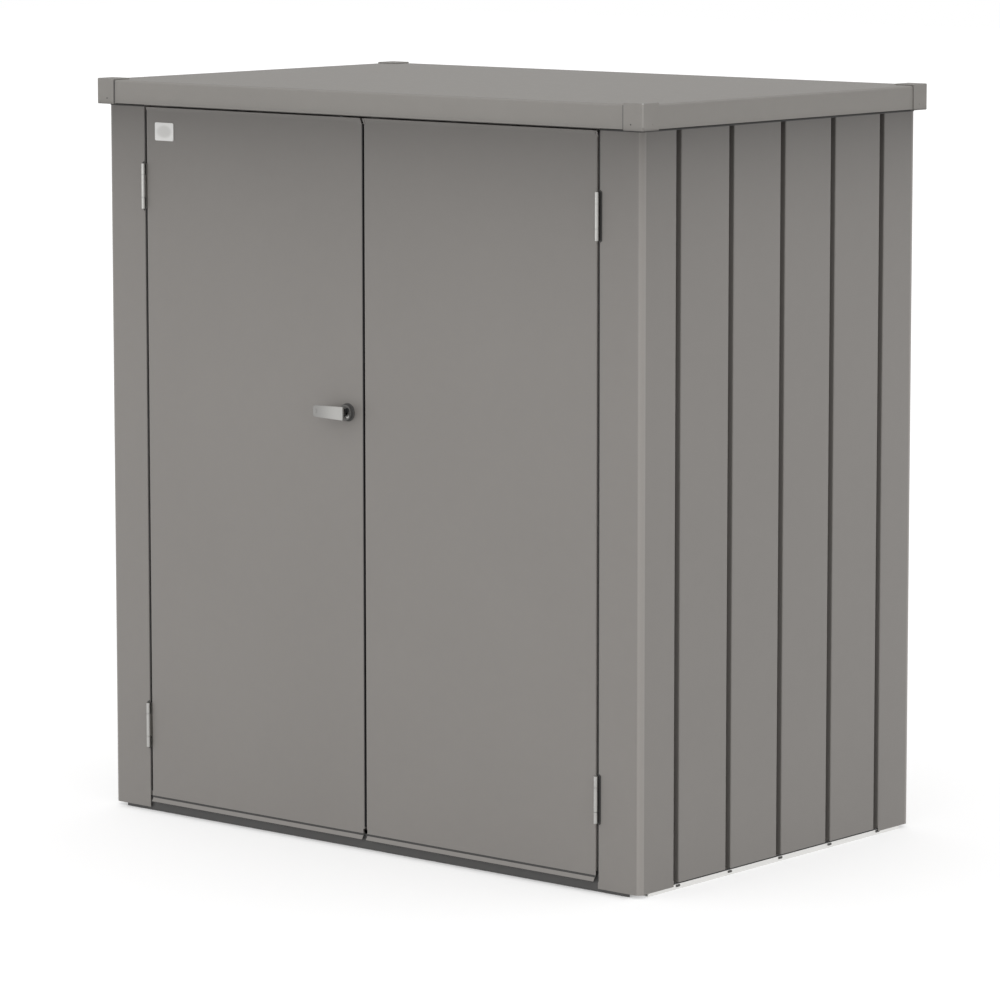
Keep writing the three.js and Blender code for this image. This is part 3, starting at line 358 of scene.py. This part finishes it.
def zinc_plating(name):
    """Bright zinc with faint crystal fields."""
    metal = new_finish(name)
    crystals = metal.node(
        "ShaderNodeTexVoronoi", None, {"Vector": metal.place(), "Scale": 110.0}, "Color")
    field = metal.node("ShaderNodeSeparateColor", None, {0: crystals})
    cloud = metal.noise(30, detail=3)
    return metal.surface(
        Base_Color=metal.mix(field * 0.5 + cloud * 0.5, linear(168, 171, 174), linear(196, 198, 199)),
        Roughness=0.33 + field * 0.1,
        Metallic=1.0,
        Normal=metal.bump(metal.noise(500), distance=0.00002, strength=0.4),
    )


def cast_zinc(name):
    """The lever's satin casting: smoother towards the hub, with a painted sheen that lightens it there and
    painted shade in the thumb dimple.
    """
    metal = new_finish(name)
    tip_x, sheen_x = -0.097, -0.036
    dimple_x, dimple_z, half_width, half_height = -0.0905, 0.8092, 0.004, 0.00476
    # Painted sheen: the colour lightens towards the hub.
    polish_and_sheen = metal.range(metal.along(X), tip_x, sheen_x)
    brushing = metal.noise(1, detail=3, stretch=(14, 1300, 1300))
    skin = metal.noise(240, detail=3)
    # Painted shade in the thumb dimple.
    dimple_shade = metal.range(metal.spot(dimple_x, dimple_z, half_width, half_height), 0.1, 1.3, 0.5, 0)
    tone = polish_and_sheen * 0.78 + brushing * 0.1 + skin * 0.12 - dimple_shade
    return metal.surface(
        Base_Color=metal.mix(tone, linear(141, 140, 138), linear(178, 177, 174)),
        Roughness=0.42 - polish_and_sheen * 0.1 + skin * 0.06,
        Metallic=0.85,
        Normal=metal.bump(brushing * 0.5 + skin * 0.5, distance=0.00004, strength=0.5),
    )


def moulded(name, colour):
    """Rubber or moulded plastic with a fine grain and a faint bloom."""
    rubber = new_finish(name)
    grain = rubber.noise(900)
    bloom = rubber.noise(25, detail=3)
    return rubber.surface(
        Base_Color=rubber.mix(grain * 0.4 + bloom * 0.6, shade(colour, 0.75), colour),
        Roughness=0.52 + bloom * 0.16,
        Normal=rubber.bump(grain, distance=0.00005, strength=0.5),
    )


def plate_film(name):
    """Pale satin film of the blank name plate, a little darker in its middle."""
    film = new_finish(name)
    low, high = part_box("blank_name_plate")
    x, z = (low[X] + high[X]) / 2, (low[Z] + high[Z]) / 2
    half_width, half_height = 0.021, 0.013
    middle = film.range(film.spot(x, z, half_width, half_height), 0.3, 1.2, 1, 0)
    grain = film.noise(700)
    return film.surface(
        Base_Color=film.mix(middle * 0.8 + grain * 0.2, linear(243, 242, 240), linear(216, 215, 212)),
        Roughness=0.38 + grain * 0.08,
        Metallic=0.3,
        Normal=film.bump(grain, distance=0.00002, strength=0.4),
    )


GREY = linear(140, 136, 132)
# The lid's grey is a lighter copy of the walls' grey; the extra lightness is painted light.
LIT_LID_GREY = linear(147, 144, 140)
wall_coat = wall_powder_coat()
roof_coat = lid_powder_coat("roof powder coat", top=lid_top - 0.5)
cap_coat = lid_powder_coat("cap powder coat", top=cap_top - 0.1)
# Grey of the strips that paint the shadow of the cap seams.
seam_shadow_grey = moulded("grey cap seam shadow", linear(98, 97, 96))
# Grey of the cap pins, and of the strips that paint shadow beside the hinges, along the door lips and
# under the lid.
seal_and_shadow_grey = moulded("grey lid seal", linear(66, 65, 64))
rosette_grey = powder_coat("rosette face coat", linear(112, 110, 108))
finishes = {
    "grey_coat": powder_coat("grey powder coat", GREY),
    "dark_coat": powder_coat("dark powder coat", linear(82, 81, 80)),
    "bare_aluminium": mill_aluminium("mill aluminium"),
    "stainless": brushed_stainless("brushed stainless", linear(158, 157, 154), linear(188, 187, 184)),
    "zinc_plate": zinc_plating("zinc plating"),
    "black_coat": powder_coat("black powder coat", linear(38, 38, 39)),
}
lever_metal = cast_zinc("cast zinc")
# Dark coat of the rosette and the lever's neck, which paints the shade under the blade.
rosette_shade_dark = powder_coat("dark rosette coat with painted shade", linear(70, 69, 68))
# Black rubber of stops, sleeves, gaskets and the cylinder cover, and the painted shadow of the base seal.
rubber_and_shadow_black = moulded("black rubber and painted shadow", linear(34, 34, 35))
plate_pale = plate_film("pale plate film")
dull_screw = screw_steel("dull screw steel", linear(168, 167, 165), linear(206, 205, 202))
dark_screw = screw_steel("dark screw steel", linear(72, 71, 70), linear(104, 103, 101))


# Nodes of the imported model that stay: their finish, and fine rounded edges

def smooth(mesh):
    """Shades a mesh smooth all over."""
    for polygon in mesh.polygons:
        polygon.use_smooth = True


def round_edges(piece, width, angle, segments=2):
    """Rounds the edges that are sharper than the angle; width is in metres."""
    bevel = piece.modifiers.new("rounded_edges", "BEVEL")
    bevel.limit_method = "ANGLE"
    bevel.angle_limit = math.radians(angle)
    bevel.width = width
    bevel.segments = segments


def soften(piece):
    """Rounds the sharp edges by a hair, as a coat does, and shades the rest smooth."""
    smooth(piece.data)
    weld = piece.modifiers.new("joined_corners", "WELD")
    weld.merge_threshold = 0.00001
    flat = piece.modifiers.new("flat_fields", "DECIMATE")
    flat.decimate_type = "DISSOLVE"
    flat.angle_limit = math.radians(0.4)
    round_edges(piece, width=0.0003, angle=32)
    piece.modifiers.new("flat_shading", "WEIGHTED_NORMAL")


def dress(name, piece):
    """Gives a node its finish, in place of the plain colour and the normals that it came with."""
    normals = piece.data.attributes.get("custom_normal")
    if normals:
        piece.data.attributes.remove(normals)
    for slot in piece.material_slots:
        slot.material = finishes[slot.material.name.split(".")[0]]
    if "wall_panel" in name or name.endswith("_post"):
        piece.material_slots[0].material = wall_coat
    elif name == "roof_sheet":
        piece.material_slots[0].material = roof_coat
    elif name.endswith("_cap"):
        piece.material_slots[0].material = cap_coat
    elif name == "blank_name_plate":
        piece.material_slots[0].material = plate_pale


for name, piece in frame["nodes"].items():
    dress(name, piece)
    soften(piece)


# Pieces of the scene's own

def ring_faces(rings, sides):
    """Faces of a closed form whose points lie in rings of that many sides, one ring after the other."""
    faces = []
    for start in range(0, (rings - 1) * sides, sides):
        for step in range(sides):
            after = (step + 1) % sides
            faces.append((start + step, start + after, start + sides + after, start + sides + step))
    faces.append(tuple(reversed(range(sides))))
    faces.append(tuple(range((rings - 1) * sides, rings * sides)))
    return faces


def mesh_of(name, points, faces):
    """A new mesh from its points and faces."""
    mesh = bpy.data.meshes.new(name)
    mesh.from_pydata([tuple(point) for point in points], [], faces)
    return mesh


def piece_of(name, points, faces, finish, body, replaces=()):
    """A new piece from its points and faces, riding on a body."""
    mesh = mesh_of(name, points, faces)
    mesh.validate()
    mesh.materials.append(finish)
    smooth(mesh)
    piece = link_to_scene(name, mesh)
    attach(piece, body)
    if replaces:
        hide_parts(*replaces)
    return piece


def turned(profile, sides):
    """Points and faces of a turned part about Z: profile is (radius, height) from foot to top."""
    points = []
    for radius, height in profile:
        for step in range(sides):
            turn = 2 * math.pi * step / sides
            points.append(mm(radius * math.cos(turn), radius * math.sin(turn), height))
    return points, ring_faces(len(profile), sides)


def turned_piece(name, profile, sides, place, towards, finish, body, replaces=()):
    """A turned piece that stands at a place and points towards a direction."""
    points, faces = turned(profile, sides)
    turn = Vector(towards).to_track_quat("Z", "Y")
    points = [turn @ point + place for point in points]
    return piece_of(name, points, faces, finish, body, replaces)


def crisp_rims(piece):
    """Keeps the rims of a turned piece crisp where the rest is shaded smooth."""
    crease = piece.modifiers.new("crisp_rims", "EDGE_SPLIT")
    crease.split_angle = math.radians(40)


def drawn(name, outline, axis, start, end, finish, body, width=0.0002):
    """A strip of one section all along, drawn out along one axis.

    The section is given over the two other axes, in their order.
    """
    points = []
    for reach in (start, end):
        for first, second in outline:
            place = [first, second]
            place.insert(axis, reach)
            points.append(mm(*place))
    strip = piece_of(name, points, ring_faces(2, len(outline)), finish, body)
    whole = bmesh.new()
    whole.from_mesh(strip.data)
    bmesh.ops.recalc_face_normals(whole, faces=whole.faces)
    whole.to_mesh(strip.data)
    whole.free()
    round_edges(strip, width, angle=40)
    strip.modifiers.new("flat_shading", "WEIGHTED_NORMAL")


def mirrored(outline, side):
    """An outline for the right-hand side, set over to the left where side is -1."""
    return [(side * first, second) for first, second in outline]


def oblong(left, foot, right, top):
    """Outline of an oblong."""
    return [(left, foot), (right, foot), (right, top), (left, top)]


# Lever and lock rosette

def lever_blade():
    """Points and faces of the blade: widest and thickest at the hub, with a thumb dimple near its tip.

    Its two end faces look inward, and rounding the edges makes the small lip round each end from that.
    """
    tip, heel = -97.4, -23.2
    tip_over, heel_over = 10.9, 12.8
    tip_under, heel_under = 10.4, 12.1
    tip_front, heel_front = -427.9, -429.5
    tip_back, heel_back = -425.4, -426.6
    rounded_length, tip_share = 6.0, 0.66
    dimple_x, dimple_up, dimple_radius, dimple_depth = -90.6, -0.5, 4.8, 1.5
    squareness = 0.26
    middle_z = hub_z + 0.6
    lengths, corners = 60, 96
    points = []
    for step in range(lengths + 1):
        share = step / lengths
        x = tip + (heel - tip) * share
        over = tip_over + (heel_over - tip_over) * share
        under = tip_under + (heel_under - tip_under) * share ** 0.8
        front = heel_front + (tip_front - heel_front) * (1 - share) ** 2
        back = heel_back + (tip_back - heel_back) * (1 - share)
        near_tip = min(1.0, (x - tip) / rounded_length)
        rounding = tip_share + (1 - tip_share) * math.sqrt(1 - (1 - near_tip) ** 2)
        for corner in range(corners):
            turn = 2 * math.pi * corner / corners
            inward, upward = math.cos(turn), math.sin(turn)
            height = (over if upward > 0 else under) * rounding
            up = math.copysign(abs(upward) ** squareness, upward) * height
            y = (front + back) / 2 + math.copysign(abs(inward) ** squareness, inward) * (back - front) / 2
            reach = math.hypot(x - dimple_x, up - dimple_up) / dimple_radius
            if inward < 0 and reach < 1:
                y += dimple_depth * (1 - reach * reach) ** 2
            points.append(mm(x, y, middle_z + up))
    *sides, tip_end, heel_end = ring_faces(lengths + 1, corners)
    return points, [*sides, tip_end[::-1], heel_end[::-1]]


def lever():
    """The cast blade, and the neck that carries it, whose dark coat paints the shade under the blade."""
    points, faces = lever_blade()
    blade = piece_of("lever_blade", points, faces, lever_metal, "lever", ["lever_handle"])
    round_edges(blade, width=0.0006, angle=50, segments=3)
    turned_piece(
        "lever_neck", [(5.0, 0), (5.0, 12.5), (6.2, 13.0), (6.2, 23.5), (7.8, 25.2), (10.0, 27.4)], 40,
        mm(hub_x, door_face, hub_z), FORWARD, rosette_shade_dark, "lever")


def lock_rosette():
    """Rosette under the lever, with its lighter face and the round cover of the lock cylinder; its dark
    coat round the face is painted shade.
    """
    rim = [(16.8, 0.1), (16.8, 1.2), (16.0, 2.0), (15.5, 2.6), (15.5, 6.6), (14.9, 7.7), (13.8, 8.0)]
    bore = [(6.0, 8.0), (5.6, 7.2), (5.6, 1.2)]
    rosette = turned_piece(
        "lock_rosette", rim + bore, 64, mm(hub_x, door_face, hub_z), FORWARD,
        rosette_shade_dark, "left_door", ["handle_rosette"])
    turned_piece(
        "rosette_face", [(14.2, 0), (14.2, 0.3), (13.9, 0.5), (6.2, 0.5), (6.2, 0)], 64,
        mm(hub_x, rosette_front + 0.05, hub_z), FORWARD, rosette_grey, "left_door")
    turned_piece(
        "cylinder_cover", [(4.3, 0), (4.3, 0.6), (3.8, 1.0), (3.0, 0.6)], 32,
        mm(hub_x + 6.2, rosette_front - 0.3, hub_z + 4.9), FORWARD, rubber_and_shadow_black, "left_door")
    crisp_rims(rosette)


lever()
lock_rosette()


# Trim along the base, the doors and the lid

def tab_outline():
    """Outline of a flat tab about its own middle: two round ends and a straight stretch."""
    half_straight, round_y, round_z, corners = 3.72, 2.3, 2.2, 20
    outline = []
    for corner in range(corners):
        turn = 2 * math.pi * (corner + 0.5) / corners
        end = math.copysign(half_straight, math.cos(turn))
        outline.append((end + round_y * math.cos(turn), round_z * math.sin(turn)))
    return outline


def base_tabs(side, name):
    """Small dark tabs in the base rail, one just behind each joint of the side wall."""
    joints, behind, tab_z = 5, 0.5, 6.4
    sunk, proud = 0.1, 0.8
    rail_side = box_mm("right_base_rail")[1][X]
    first = box_mm("right_wall_panel_1")[0][Y]
    pitch = box_mm("right_wall_panel_2")[0][Y] - first
    for count in range(joints):
        y = first + pitch * count + behind
        drawn(f"{name}_base_tab_{count + 1}", [(y + along, tab_z + up) for along, up in tab_outline()],
              X, side * (rail_side - sunk), side * (rail_side + proud),
              dark_screw, "cabinet_body")


def base_shadow_seal(side, name):
    """Black strip between the base rail and the foot of the side wall, which paints the shadow line there.
    """
    rail_side, rail_back, _ = box_mm("right_base_rail")[1]
    inner, outer, front = rail_side - 0.1, wall_side - 0.1, -345
    outline = [(inner, 10.0), (outer, 10.2), (outer, 12.28), (inner, 12.28)]
    drawn(f"{name}_base_shadow_seal", mirrored(outline, side), Y, front, rail_back,
          rubber_and_shadow_black, "cabinet_body")


def hinge_shadow_strips(side, name):
    """Dark strip in the post beside each door hinge, a little shorter on its outer side, which paints the
    hinge's shadow in the gap.
    """
    inner, outer = post_inner + 0.6, post_inner + 6.6
    long_half, short_half = 47, 43
    for level in ("upper", "lower"):
        low, high = box_mm(f"right_{level}_hinge_door_half")
        middle = (low[Z] + high[Z]) / 2
        outline = [(inner, middle - long_half), (outer, middle - short_half),
                   (outer, middle + short_half), (inner, middle + long_half)]
        drawn(f"{name}_{level}_hinge_shadow_strip", mirrored(outline, side),
              Y, door_face - 0.45, door_face + 0.1, seal_and_shadow_grey, "cabinet_body")


def door_foot(side, name):
    """Fold above the door's drip lip, and grey strips that paint the shadow line under it and the shade
    along the lip's lower edge.
    """
    body = f"{name}_door"
    skin_low, skin_high = box_mm("right_door_skin")
    start, end, inset = skin_low[X] + 2.5, skin_high[X], 0.2
    fold_foot, fold_top, fold_front = 29.9, 38.8, door_face - 0.06
    drawn(f"{name}_drip_fold", oblong(fold_front, fold_foot, door_face + 1.6, fold_top),
          X, side * start, side * end, finishes["grey_coat"], body)
    shadow = [(door_face, 30.0), (door_face - 0.5, 26.3), (door_face + 1.0, 26.3), (door_face + 1.0, 30.0)]
    lip_front, lip_foot, lip_top = skin_low[Y] - 0.3, 17.9, 19.2
    lip_edge = [(lip_front, lip_foot), (lip_front, lip_top),
                (lip_front + 1.0, lip_top), (lip_front + 1.5, lip_foot)]
    for part, outline in (("shadow", shadow), ("edge", lip_edge)):
        drawn(f"{name}_drip_{part}_seal", outline, X, side * (start + inset), side * (end - inset),
              seal_and_shadow_grey, body, width=0.0001)


def door_top_corners(side, name):
    """Fills the ends of the leaning strip along the door's top; the left door's outer end stays open."""
    foot, top = 1335.4, 1345.95
    outline = [(door_face - 0.4, foot), (door_face - 4.6, top),
               (door_face - 2.7, top), (door_face + 1.4, foot)]
    fills = {"inner": (2.55, 6.2), "outer": (544.6, 548.25)}
    if side < 0:
        del fills["outer"]
    for edge, (start, end) in fills.items():
        drawn(f"{name}_door_{edge}_corner", outline, X, side * start, side * end,
              finishes["grey_coat"], f"{name}_door")


def cap_seam_shadows(side, name):
    """Grey strip where the fascia meets the corner cap, at the front and at the back, which paints the
    seam's shadow.
    """
    seam_widths = {"right": 2.7, "left": 1.7}
    foot, top, thickness, proud = lid_foot + 0.6, lid_top - 1.5, 1.3, 0.2
    outer = cap_inner + 0.1
    outline = mirrored(oblong(outer - seam_widths[name], foot, outer, top), side)
    for face, start in (("front", lid_front - proud), ("back", lid_back + proud - thickness)):
        drawn(f"{name}_{face}_cap_seam_shadow", outline, Y, start, start + thickness, seam_shadow_grey, "lid")


def door_gaskets():
    """Gaskets beside the right door, beside the left door and between the two doors."""
    drawn("right_post_gasket",
          oblong(post_inner - 0.1, door_face - 0.35, post_inner + 1.4, door_face + 0.1),
          Z, 20, 1345, rubber_and_shadow_black, "cabinet_body", width=0.0001)
    drawn("left_door_gasket", [(-548.4, -397.8), (-546.9, -398.3), (-546.9, -397.2), (-548.4, -396.0)],
          Z, 40, 1336, rubber_and_shadow_black, "left_door", width=0.0001)
    drawn("meeting_edge_gasket",
          [(-2.8, -396.9), (-1.5, -396.3), (-1.5, -389), (-6, -389), (-6, -390.4), (-2.8, -390.4)],
          Z, 42, 1334, rubber_and_shadow_black, "left_door")


def wall_top_seal():
    """One grey strip round the tops of the side walls and the back wall, which paints the shadow under the
    lid's lower edge.
    """
    bend_radius, bend_steps, end_x = 10.5, 8, 551.5
    middle_x, front, back = wall_side - bend_radius, door_face + bend_radius, wall_back - bend_radius
    places, outward = [(end_x, door_face)], [FORWARD[:2]]
    bends = ((middle_x, front, -90), (middle_x, back, 0), (-middle_x, back, 90), (-middle_x, front, 180))
    for x, y, start in bends:
        for step in range(bend_steps + 1):
            turn = math.radians(start + 90 * step / bend_steps)
            outward.append((math.cos(turn), math.sin(turn)))
            places.append((x + bend_radius * math.cos(turn), y + bend_radius * math.sin(turn)))
    places.append((-end_x, door_face))
    outward.append(FORWARD[:2])
    section = [(-0.1, 1350.2), (1.2, 1350.2), (0.9, 1346.3), (-0.1, 1346.0)]
    points = [
        mm(x + out * dx, y + out * dy, z)
        for (x, y), (dx, dy) in zip(places, outward)
        for out, z in section
    ]
    piece_of("wall_top_seal", points, ring_faces(len(places), len(section)),
             seal_and_shadow_grey, "cabinet_body")


def cap_pins(side, name):
    """Small pins that hold the corner caps, one in the end face and one in the side face of each."""
    height, pin_z, pin_x = 0.6, 1360, 632.6
    profile = [(1.3, 0), (1.3, 0.3), (0.9, height)]
    flush_side, flush_back, proud_front = cap_side - height, cap_back - height, cap_front + 0.2
    ends = (("front", FORWARD, proud_front, -387), ("back", BACKWARD, flush_back, 403))
    for end, towards, face_y, row_y in ends:
        turned_piece(f"{name}_{end}_cap_face_pin", profile, 20, mm(side * pin_x, face_y, pin_z), towards,
                     seal_and_shadow_grey, "lid")
        turned_piece(f"{name}_{end}_cap_side_pin", profile, 20, mm(side * flush_side, row_y, pin_z),
                     (side, 0, 0), seal_and_shadow_grey, "lid")


for side, name in SIDES:
    base_tabs(side, name)
    base_shadow_seal(side, name)
    hinge_shadow_strips(side, name)
    door_foot(side, name)
    door_top_corners(side, name)
    cap_seam_shadows(side, name)
door_gaskets()
wall_top_seal()
for side, name in SIDES:
    cap_pins(side, name)


# Screws

def recess_cutter(name, radius, height):
    """Two crossed bars that cut the recess of a screw head."""
    length, width, depth = radius * 1.15, radius * 0.22, height * 1.1
    bars = bmesh.new()
    for turn in (0, math.pi / 2):
        bar = bmesh.ops.create_cube(bars, size=1)["verts"]
        shape = (Matrix.Rotation(turn, 4, "Z") @ Matrix.Translation(mm(0, 0, height))
                 @ Matrix.Diagonal((*mm(length, width, depth), 1)))
        bmesh.ops.transform(bars, matrix=shape, verts=bar)
    mesh = bpy.data.meshes.new(name)
    bars.to_mesh(mesh)
    bars.free()
    return link_to_scene(name, mesh)


def cross_screw_mesh(name, radius, height, finish):
    """Domed screw head with a cross recess, standing on Z 0."""
    flat_share, rim_share, steps = 0.42, 0.35, 6
    profile = [(radius * 0.97, 0), (radius, height * 0.12)]
    for step in range(steps + 1):
        lean = math.pi / 2 * step / steps
        profile.append((radius * (flat_share + (1 - flat_share) * math.cos(lean)),
                        height * (rim_share + (1 - rim_share) * math.sin(lean))))
    head = link_to_scene(name, mesh_of(name, *turned(profile, 24)))
    cutter = recess_cutter(f"{name}_recess", radius, height)
    cut = head.modifiers.new("recess", "BOOLEAN")
    cut.operation = "DIFFERENCE"
    cut.solver = "EXACT"
    cut.use_self = True
    cut.object = cutter
    bpy.context.view_layer.update()
    whole = bpy.data.meshes.new_from_object(head.evaluated_get(bpy.context.evaluated_depsgraph_get()))
    whole.name = name
    whole.materials.clear()
    whole.materials.append(finish)
    bpy.data.objects.remove(head)
    bpy.data.objects.remove(cutter)
    smooth(whole)
    return whole


def fasten(name, mesh, place, towards, body):
    """Puts one copy of a screw at a place, its head towards a direction."""
    screw = link_to_scene(name, mesh)
    screw.rotation_mode = "QUATERNION"
    screw.rotation_quaternion = Vector(towards).to_track_quat("Z", "Y")
    screw.location = place
    crisp_rims(screw)
    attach(screw, body)


def rosette_screw():
    """The one screw in the rosette's face, under the lever."""
    mesh = cross_screw_mesh("rosette_screw", 3.5, 2.0, dull_screw)
    fasten("rosette_screw", mesh, mm(hub_x + 7.0, rosette_front - 0.4, hub_z - 6.6), FORWARD, "left_door")


def door_brace_screws(mesh):
    """Two columns of screws down the inner face of each door's frame."""
    rows, margin = 5, 18
    for _, name in SIDES:
        low, high = box_mm(f"{name}_door_brace")
        for row in range(rows):
            z = low[Z] + margin + (high[Z] - low[Z] - 2 * margin) * row / (rows - 1)
            for column, x in (("inner", low[X] + margin), ("outer", high[X] - margin)):
                fasten(f"{name}_door_brace_screw_{column}_{row + 1}", mesh, mm(x, high[Y], z), BACKWARD,
                       f"{name}_door")


def lid_hinge_screws(mesh):
    """A row of screws along the lid hinge's leaf on the back wall."""
    screws, margin, leaf_thickness, above_foot = 9, 30, 1.1, 9.5
    low, high = box_mm("lid_hinge_body_half")
    spacing = (high[X] - low[X] - 2 * margin) / (screws - 1)
    for count in range(screws):
        place = mm(low[X] + margin + spacing * count, low[Y] + leaf_thickness, low[Z] + above_foot)
        fasten(f"lid_hinge_screw_{count + 1}", mesh, place, BACKWARD, "cabinet_body")


rosette_screw()
brace_screw = cross_screw_mesh("brace_screw", 3.6, 1.6, dull_screw)
door_brace_screws(brace_screw)
lid_hinge_screws(brace_screw)


# Rubber stops and gas struts under the lid

def lid_stops():
    """Rubber stops on the front rail, which the roof sheet comes down towards."""
    profile = [(8.5, -0.5), (8.5, 1.5), (6.2, 2.5), (6.2, 6.5), (5.6, 7.8), (4.0, 8.4)]
    from_middle = 300
    low, high = box_mm("front_top_rail")
    for side, name in SIDES:
        place = mm(side * from_middle, (low[Y] + high[Y]) / 2, high[Z])
        turned_piece(f"{name}_lid_stop", profile, 36, place, UPWARD,
                     rubber_and_shadow_black, "cabinet_body")


def strut_trim(side, name):
    """Gland where a gas strut's rod enters its tube, and the sleeve on the tube's foot."""
    gland = [(8.8, -10), (9.4, -9), (9.4, -1), (8.0, 0.4), (4.6, 0.4)]
    sleeve = [(9.4, 0), (9.4, 9), (8.0, 12), (6.0, 13.5), (4.5, 13.5)]
    eye_radius, gland_reach, sleeve_reach = 8, 0.205, 0.024
    tube_low, tube_high = box_mm("right_strut_tube")
    rod_low, rod_high = box_mm("right_strut_rod")
    x = side * (tube_low[X] + tube_high[X]) / 2
    foot = mm(x, tube_high[Y] - eye_radius, tube_low[Z] + eye_radius)
    head = mm(x, rod_low[Y] + eye_radius, rod_high[Z] - eye_radius)
    lean = (head - foot).normalized()
    turned_piece(f"{name}_strut_gland", gland, 36, foot + lean * gland_reach, lean,
                 dark_screw, f"{name}_tube")
    turned_piece(f"{name}_strut_foot_sleeve", sleeve, 36, foot + lean * sleeve_reach, -lean,
                 rubber_and_shadow_black, f"{name}_tube")


lid_stops()
for side, name in SIDES:
    strut_trim(side, name)


# Studio: pale floor, white backdrop, soft light

def studio_floor(reach):
    """Floor that is white to the camera, with a soft shadow close round the cabinet's foot."""
    points = [(-reach, -reach, 0), (reach, -reach, 0), (reach, reach, 0), (-reach, reach, 0)]
    mesh = mesh_of("studio_floor", points, [(0, 1, 2, 3)])
    floor = link_to_scene("studio_floor", mesh)
    paint = new_finish("studio floor")
    mesh.materials.append(paint.owner)
    path = paint.node("ShaderNodeLightPath", output="Is Camera Ray")
    glossy = paint.node("ShaderNodeLightPath", output="Is Glossy Ray")
    white = paint.node("ShaderNodeEmission", None, {"Color": (1, 1, 1, 1), "Strength": 1.35})
    matt = paint.node("ShaderNodeBsdfDiffuse", None, {"Color": (0.95, 0.95, 0.95, 1)})
    grey = paint.node("ShaderNodeBsdfDiffuse", None, {"Color": (0.5, 0.5, 0.5, 1)})
    half_width, half_depth = 0.600, 0.400
    away = paint.node("ShaderNodeMath", {"operation": "MAXIMUM"}, {
        0: abs(paint.along(X)) - half_width, 1: abs(paint.along(Y) - middle_y / 1000) - half_depth})
    share = paint.range(away, -0.01, 0.035, 0.05, 0.4)
    backdrop = paint.node("ShaderNodeMixShader", None, {0: share, 1: matt, 2: white})
    both = paint.node("ShaderNodeMixShader", None, {0: path + glossy, 1: grey, 2: backdrop})
    paint.node("ShaderNodeOutputMaterial", None, {"Surface": both})


def studio_world(strength):
    """Even light from all round; the camera, gloss and glass see plain white instead."""
    world = bpy.data.worlds.new("studio_world")
    bpy.context.scene.world = world
    air = Finish(world)
    seen = (air.node("ShaderNodeLightPath", output="Is Camera Ray")
            + air.node("ShaderNodeLightPath", output="Is Glossy Ray")
            + air.node("ShaderNodeLightPath", output="Is Transmission Ray"))
    level = strength + seen * (1.0 - strength)
    light = air.node("ShaderNodeBackground", None, {"Color": (1, 1, 1, 1), "Strength": level})
    air.node("ShaderNodeOutputWorld", None, {"Surface": light})


def overhead_flag(name, front_reach, side_reach, cover, gap, topside):
    """A frame of net round the lid's edge that keeps part of the light from above off the walls.

    The reaches are how far it stands out, in millimetres, and gap moves its two layers apart. cover is
    the share of the light that the net takes away, and topside how pale its upper face is.
    """
    side, front, back = cap_side + 1, cap_front - 2, cap_back + 2
    wide = side + side_reach
    inner = ((-side, front), (side, front), (side, back), (-side, back))
    outer = ((-wide, front - front_reach), (wide, front - front_reach),
             (wide, back + front_reach), (-wide, back + front_reach))
    faces = [(k, (k + 1) % 4, 4 + (k + 1) % 4, 4 + k) for k in range(4)]
    layers = (("under", lid_foot - 0.5 - gap, 0.0), ("top", lid_foot - 0.2 + gap, topside))
    for layer, height, level in layers:
        mesh = mesh_of(f"{name}_{layer}", [mm(x, y, height) for x, y in inner + outer], faces)
        flag = link_to_scene(f"{name}_{layer}", mesh)
        net = new_finish(f"{name}_{layer}")
        mesh.materials.append(net.owner)
        matt = net.node("ShaderNodeBsdfDiffuse", None, {"Color": (level, level, level, 1)})
        clear = net.node("ShaderNodeBsdfTransparent", None, {"Color": (1, 1, 1, 1)})
        cloth = net.node("ShaderNodeMixShader", None, {0: cover, 1: clear, 2: matt})
        net.node("ShaderNodeOutputMaterial", None, {"Surface": cloth})
        flag.visible_camera = False
        flag.visible_glossy = False
        flag.visible_transmission = False


def softbox(name, place, size, towards, level):
    """A soft rectangular lamp, unseen by the camera; level is its brightness as a share of white."""
    data = bpy.data.lights.new(name, "AREA")
    data.shape = "RECTANGLE"
    data.size, data.size_y = size
    data.energy = level * math.pi * size[0] * size[1]
    lamp = link_to_scene(name, data)
    lamp.location = place
    lamp.rotation_euler = (Vector(towards) - Vector(place)).to_track_quat("-Z", "Y").to_euler()
    lamp.visible_camera = False


studio_floor(reach=30)
studio_world(strength=1.02)
overhead_flag("overhead_net", front_reach=220, side_reach=160, cover=0.5, gap=0, topside=0.94)
overhead_flag("overhead_edge", front_reach=55, side_reach=30, cover=0.9, gap=0.2, topside=0.82)
softbox("front_softbox", place=(-1.0, -6.0, 1.1), size=(3.0, 2.1), towards=(0, -0.4, 0.7), level=1.4)

bpy.context.scene.view_settings.view_transform = "Standard"
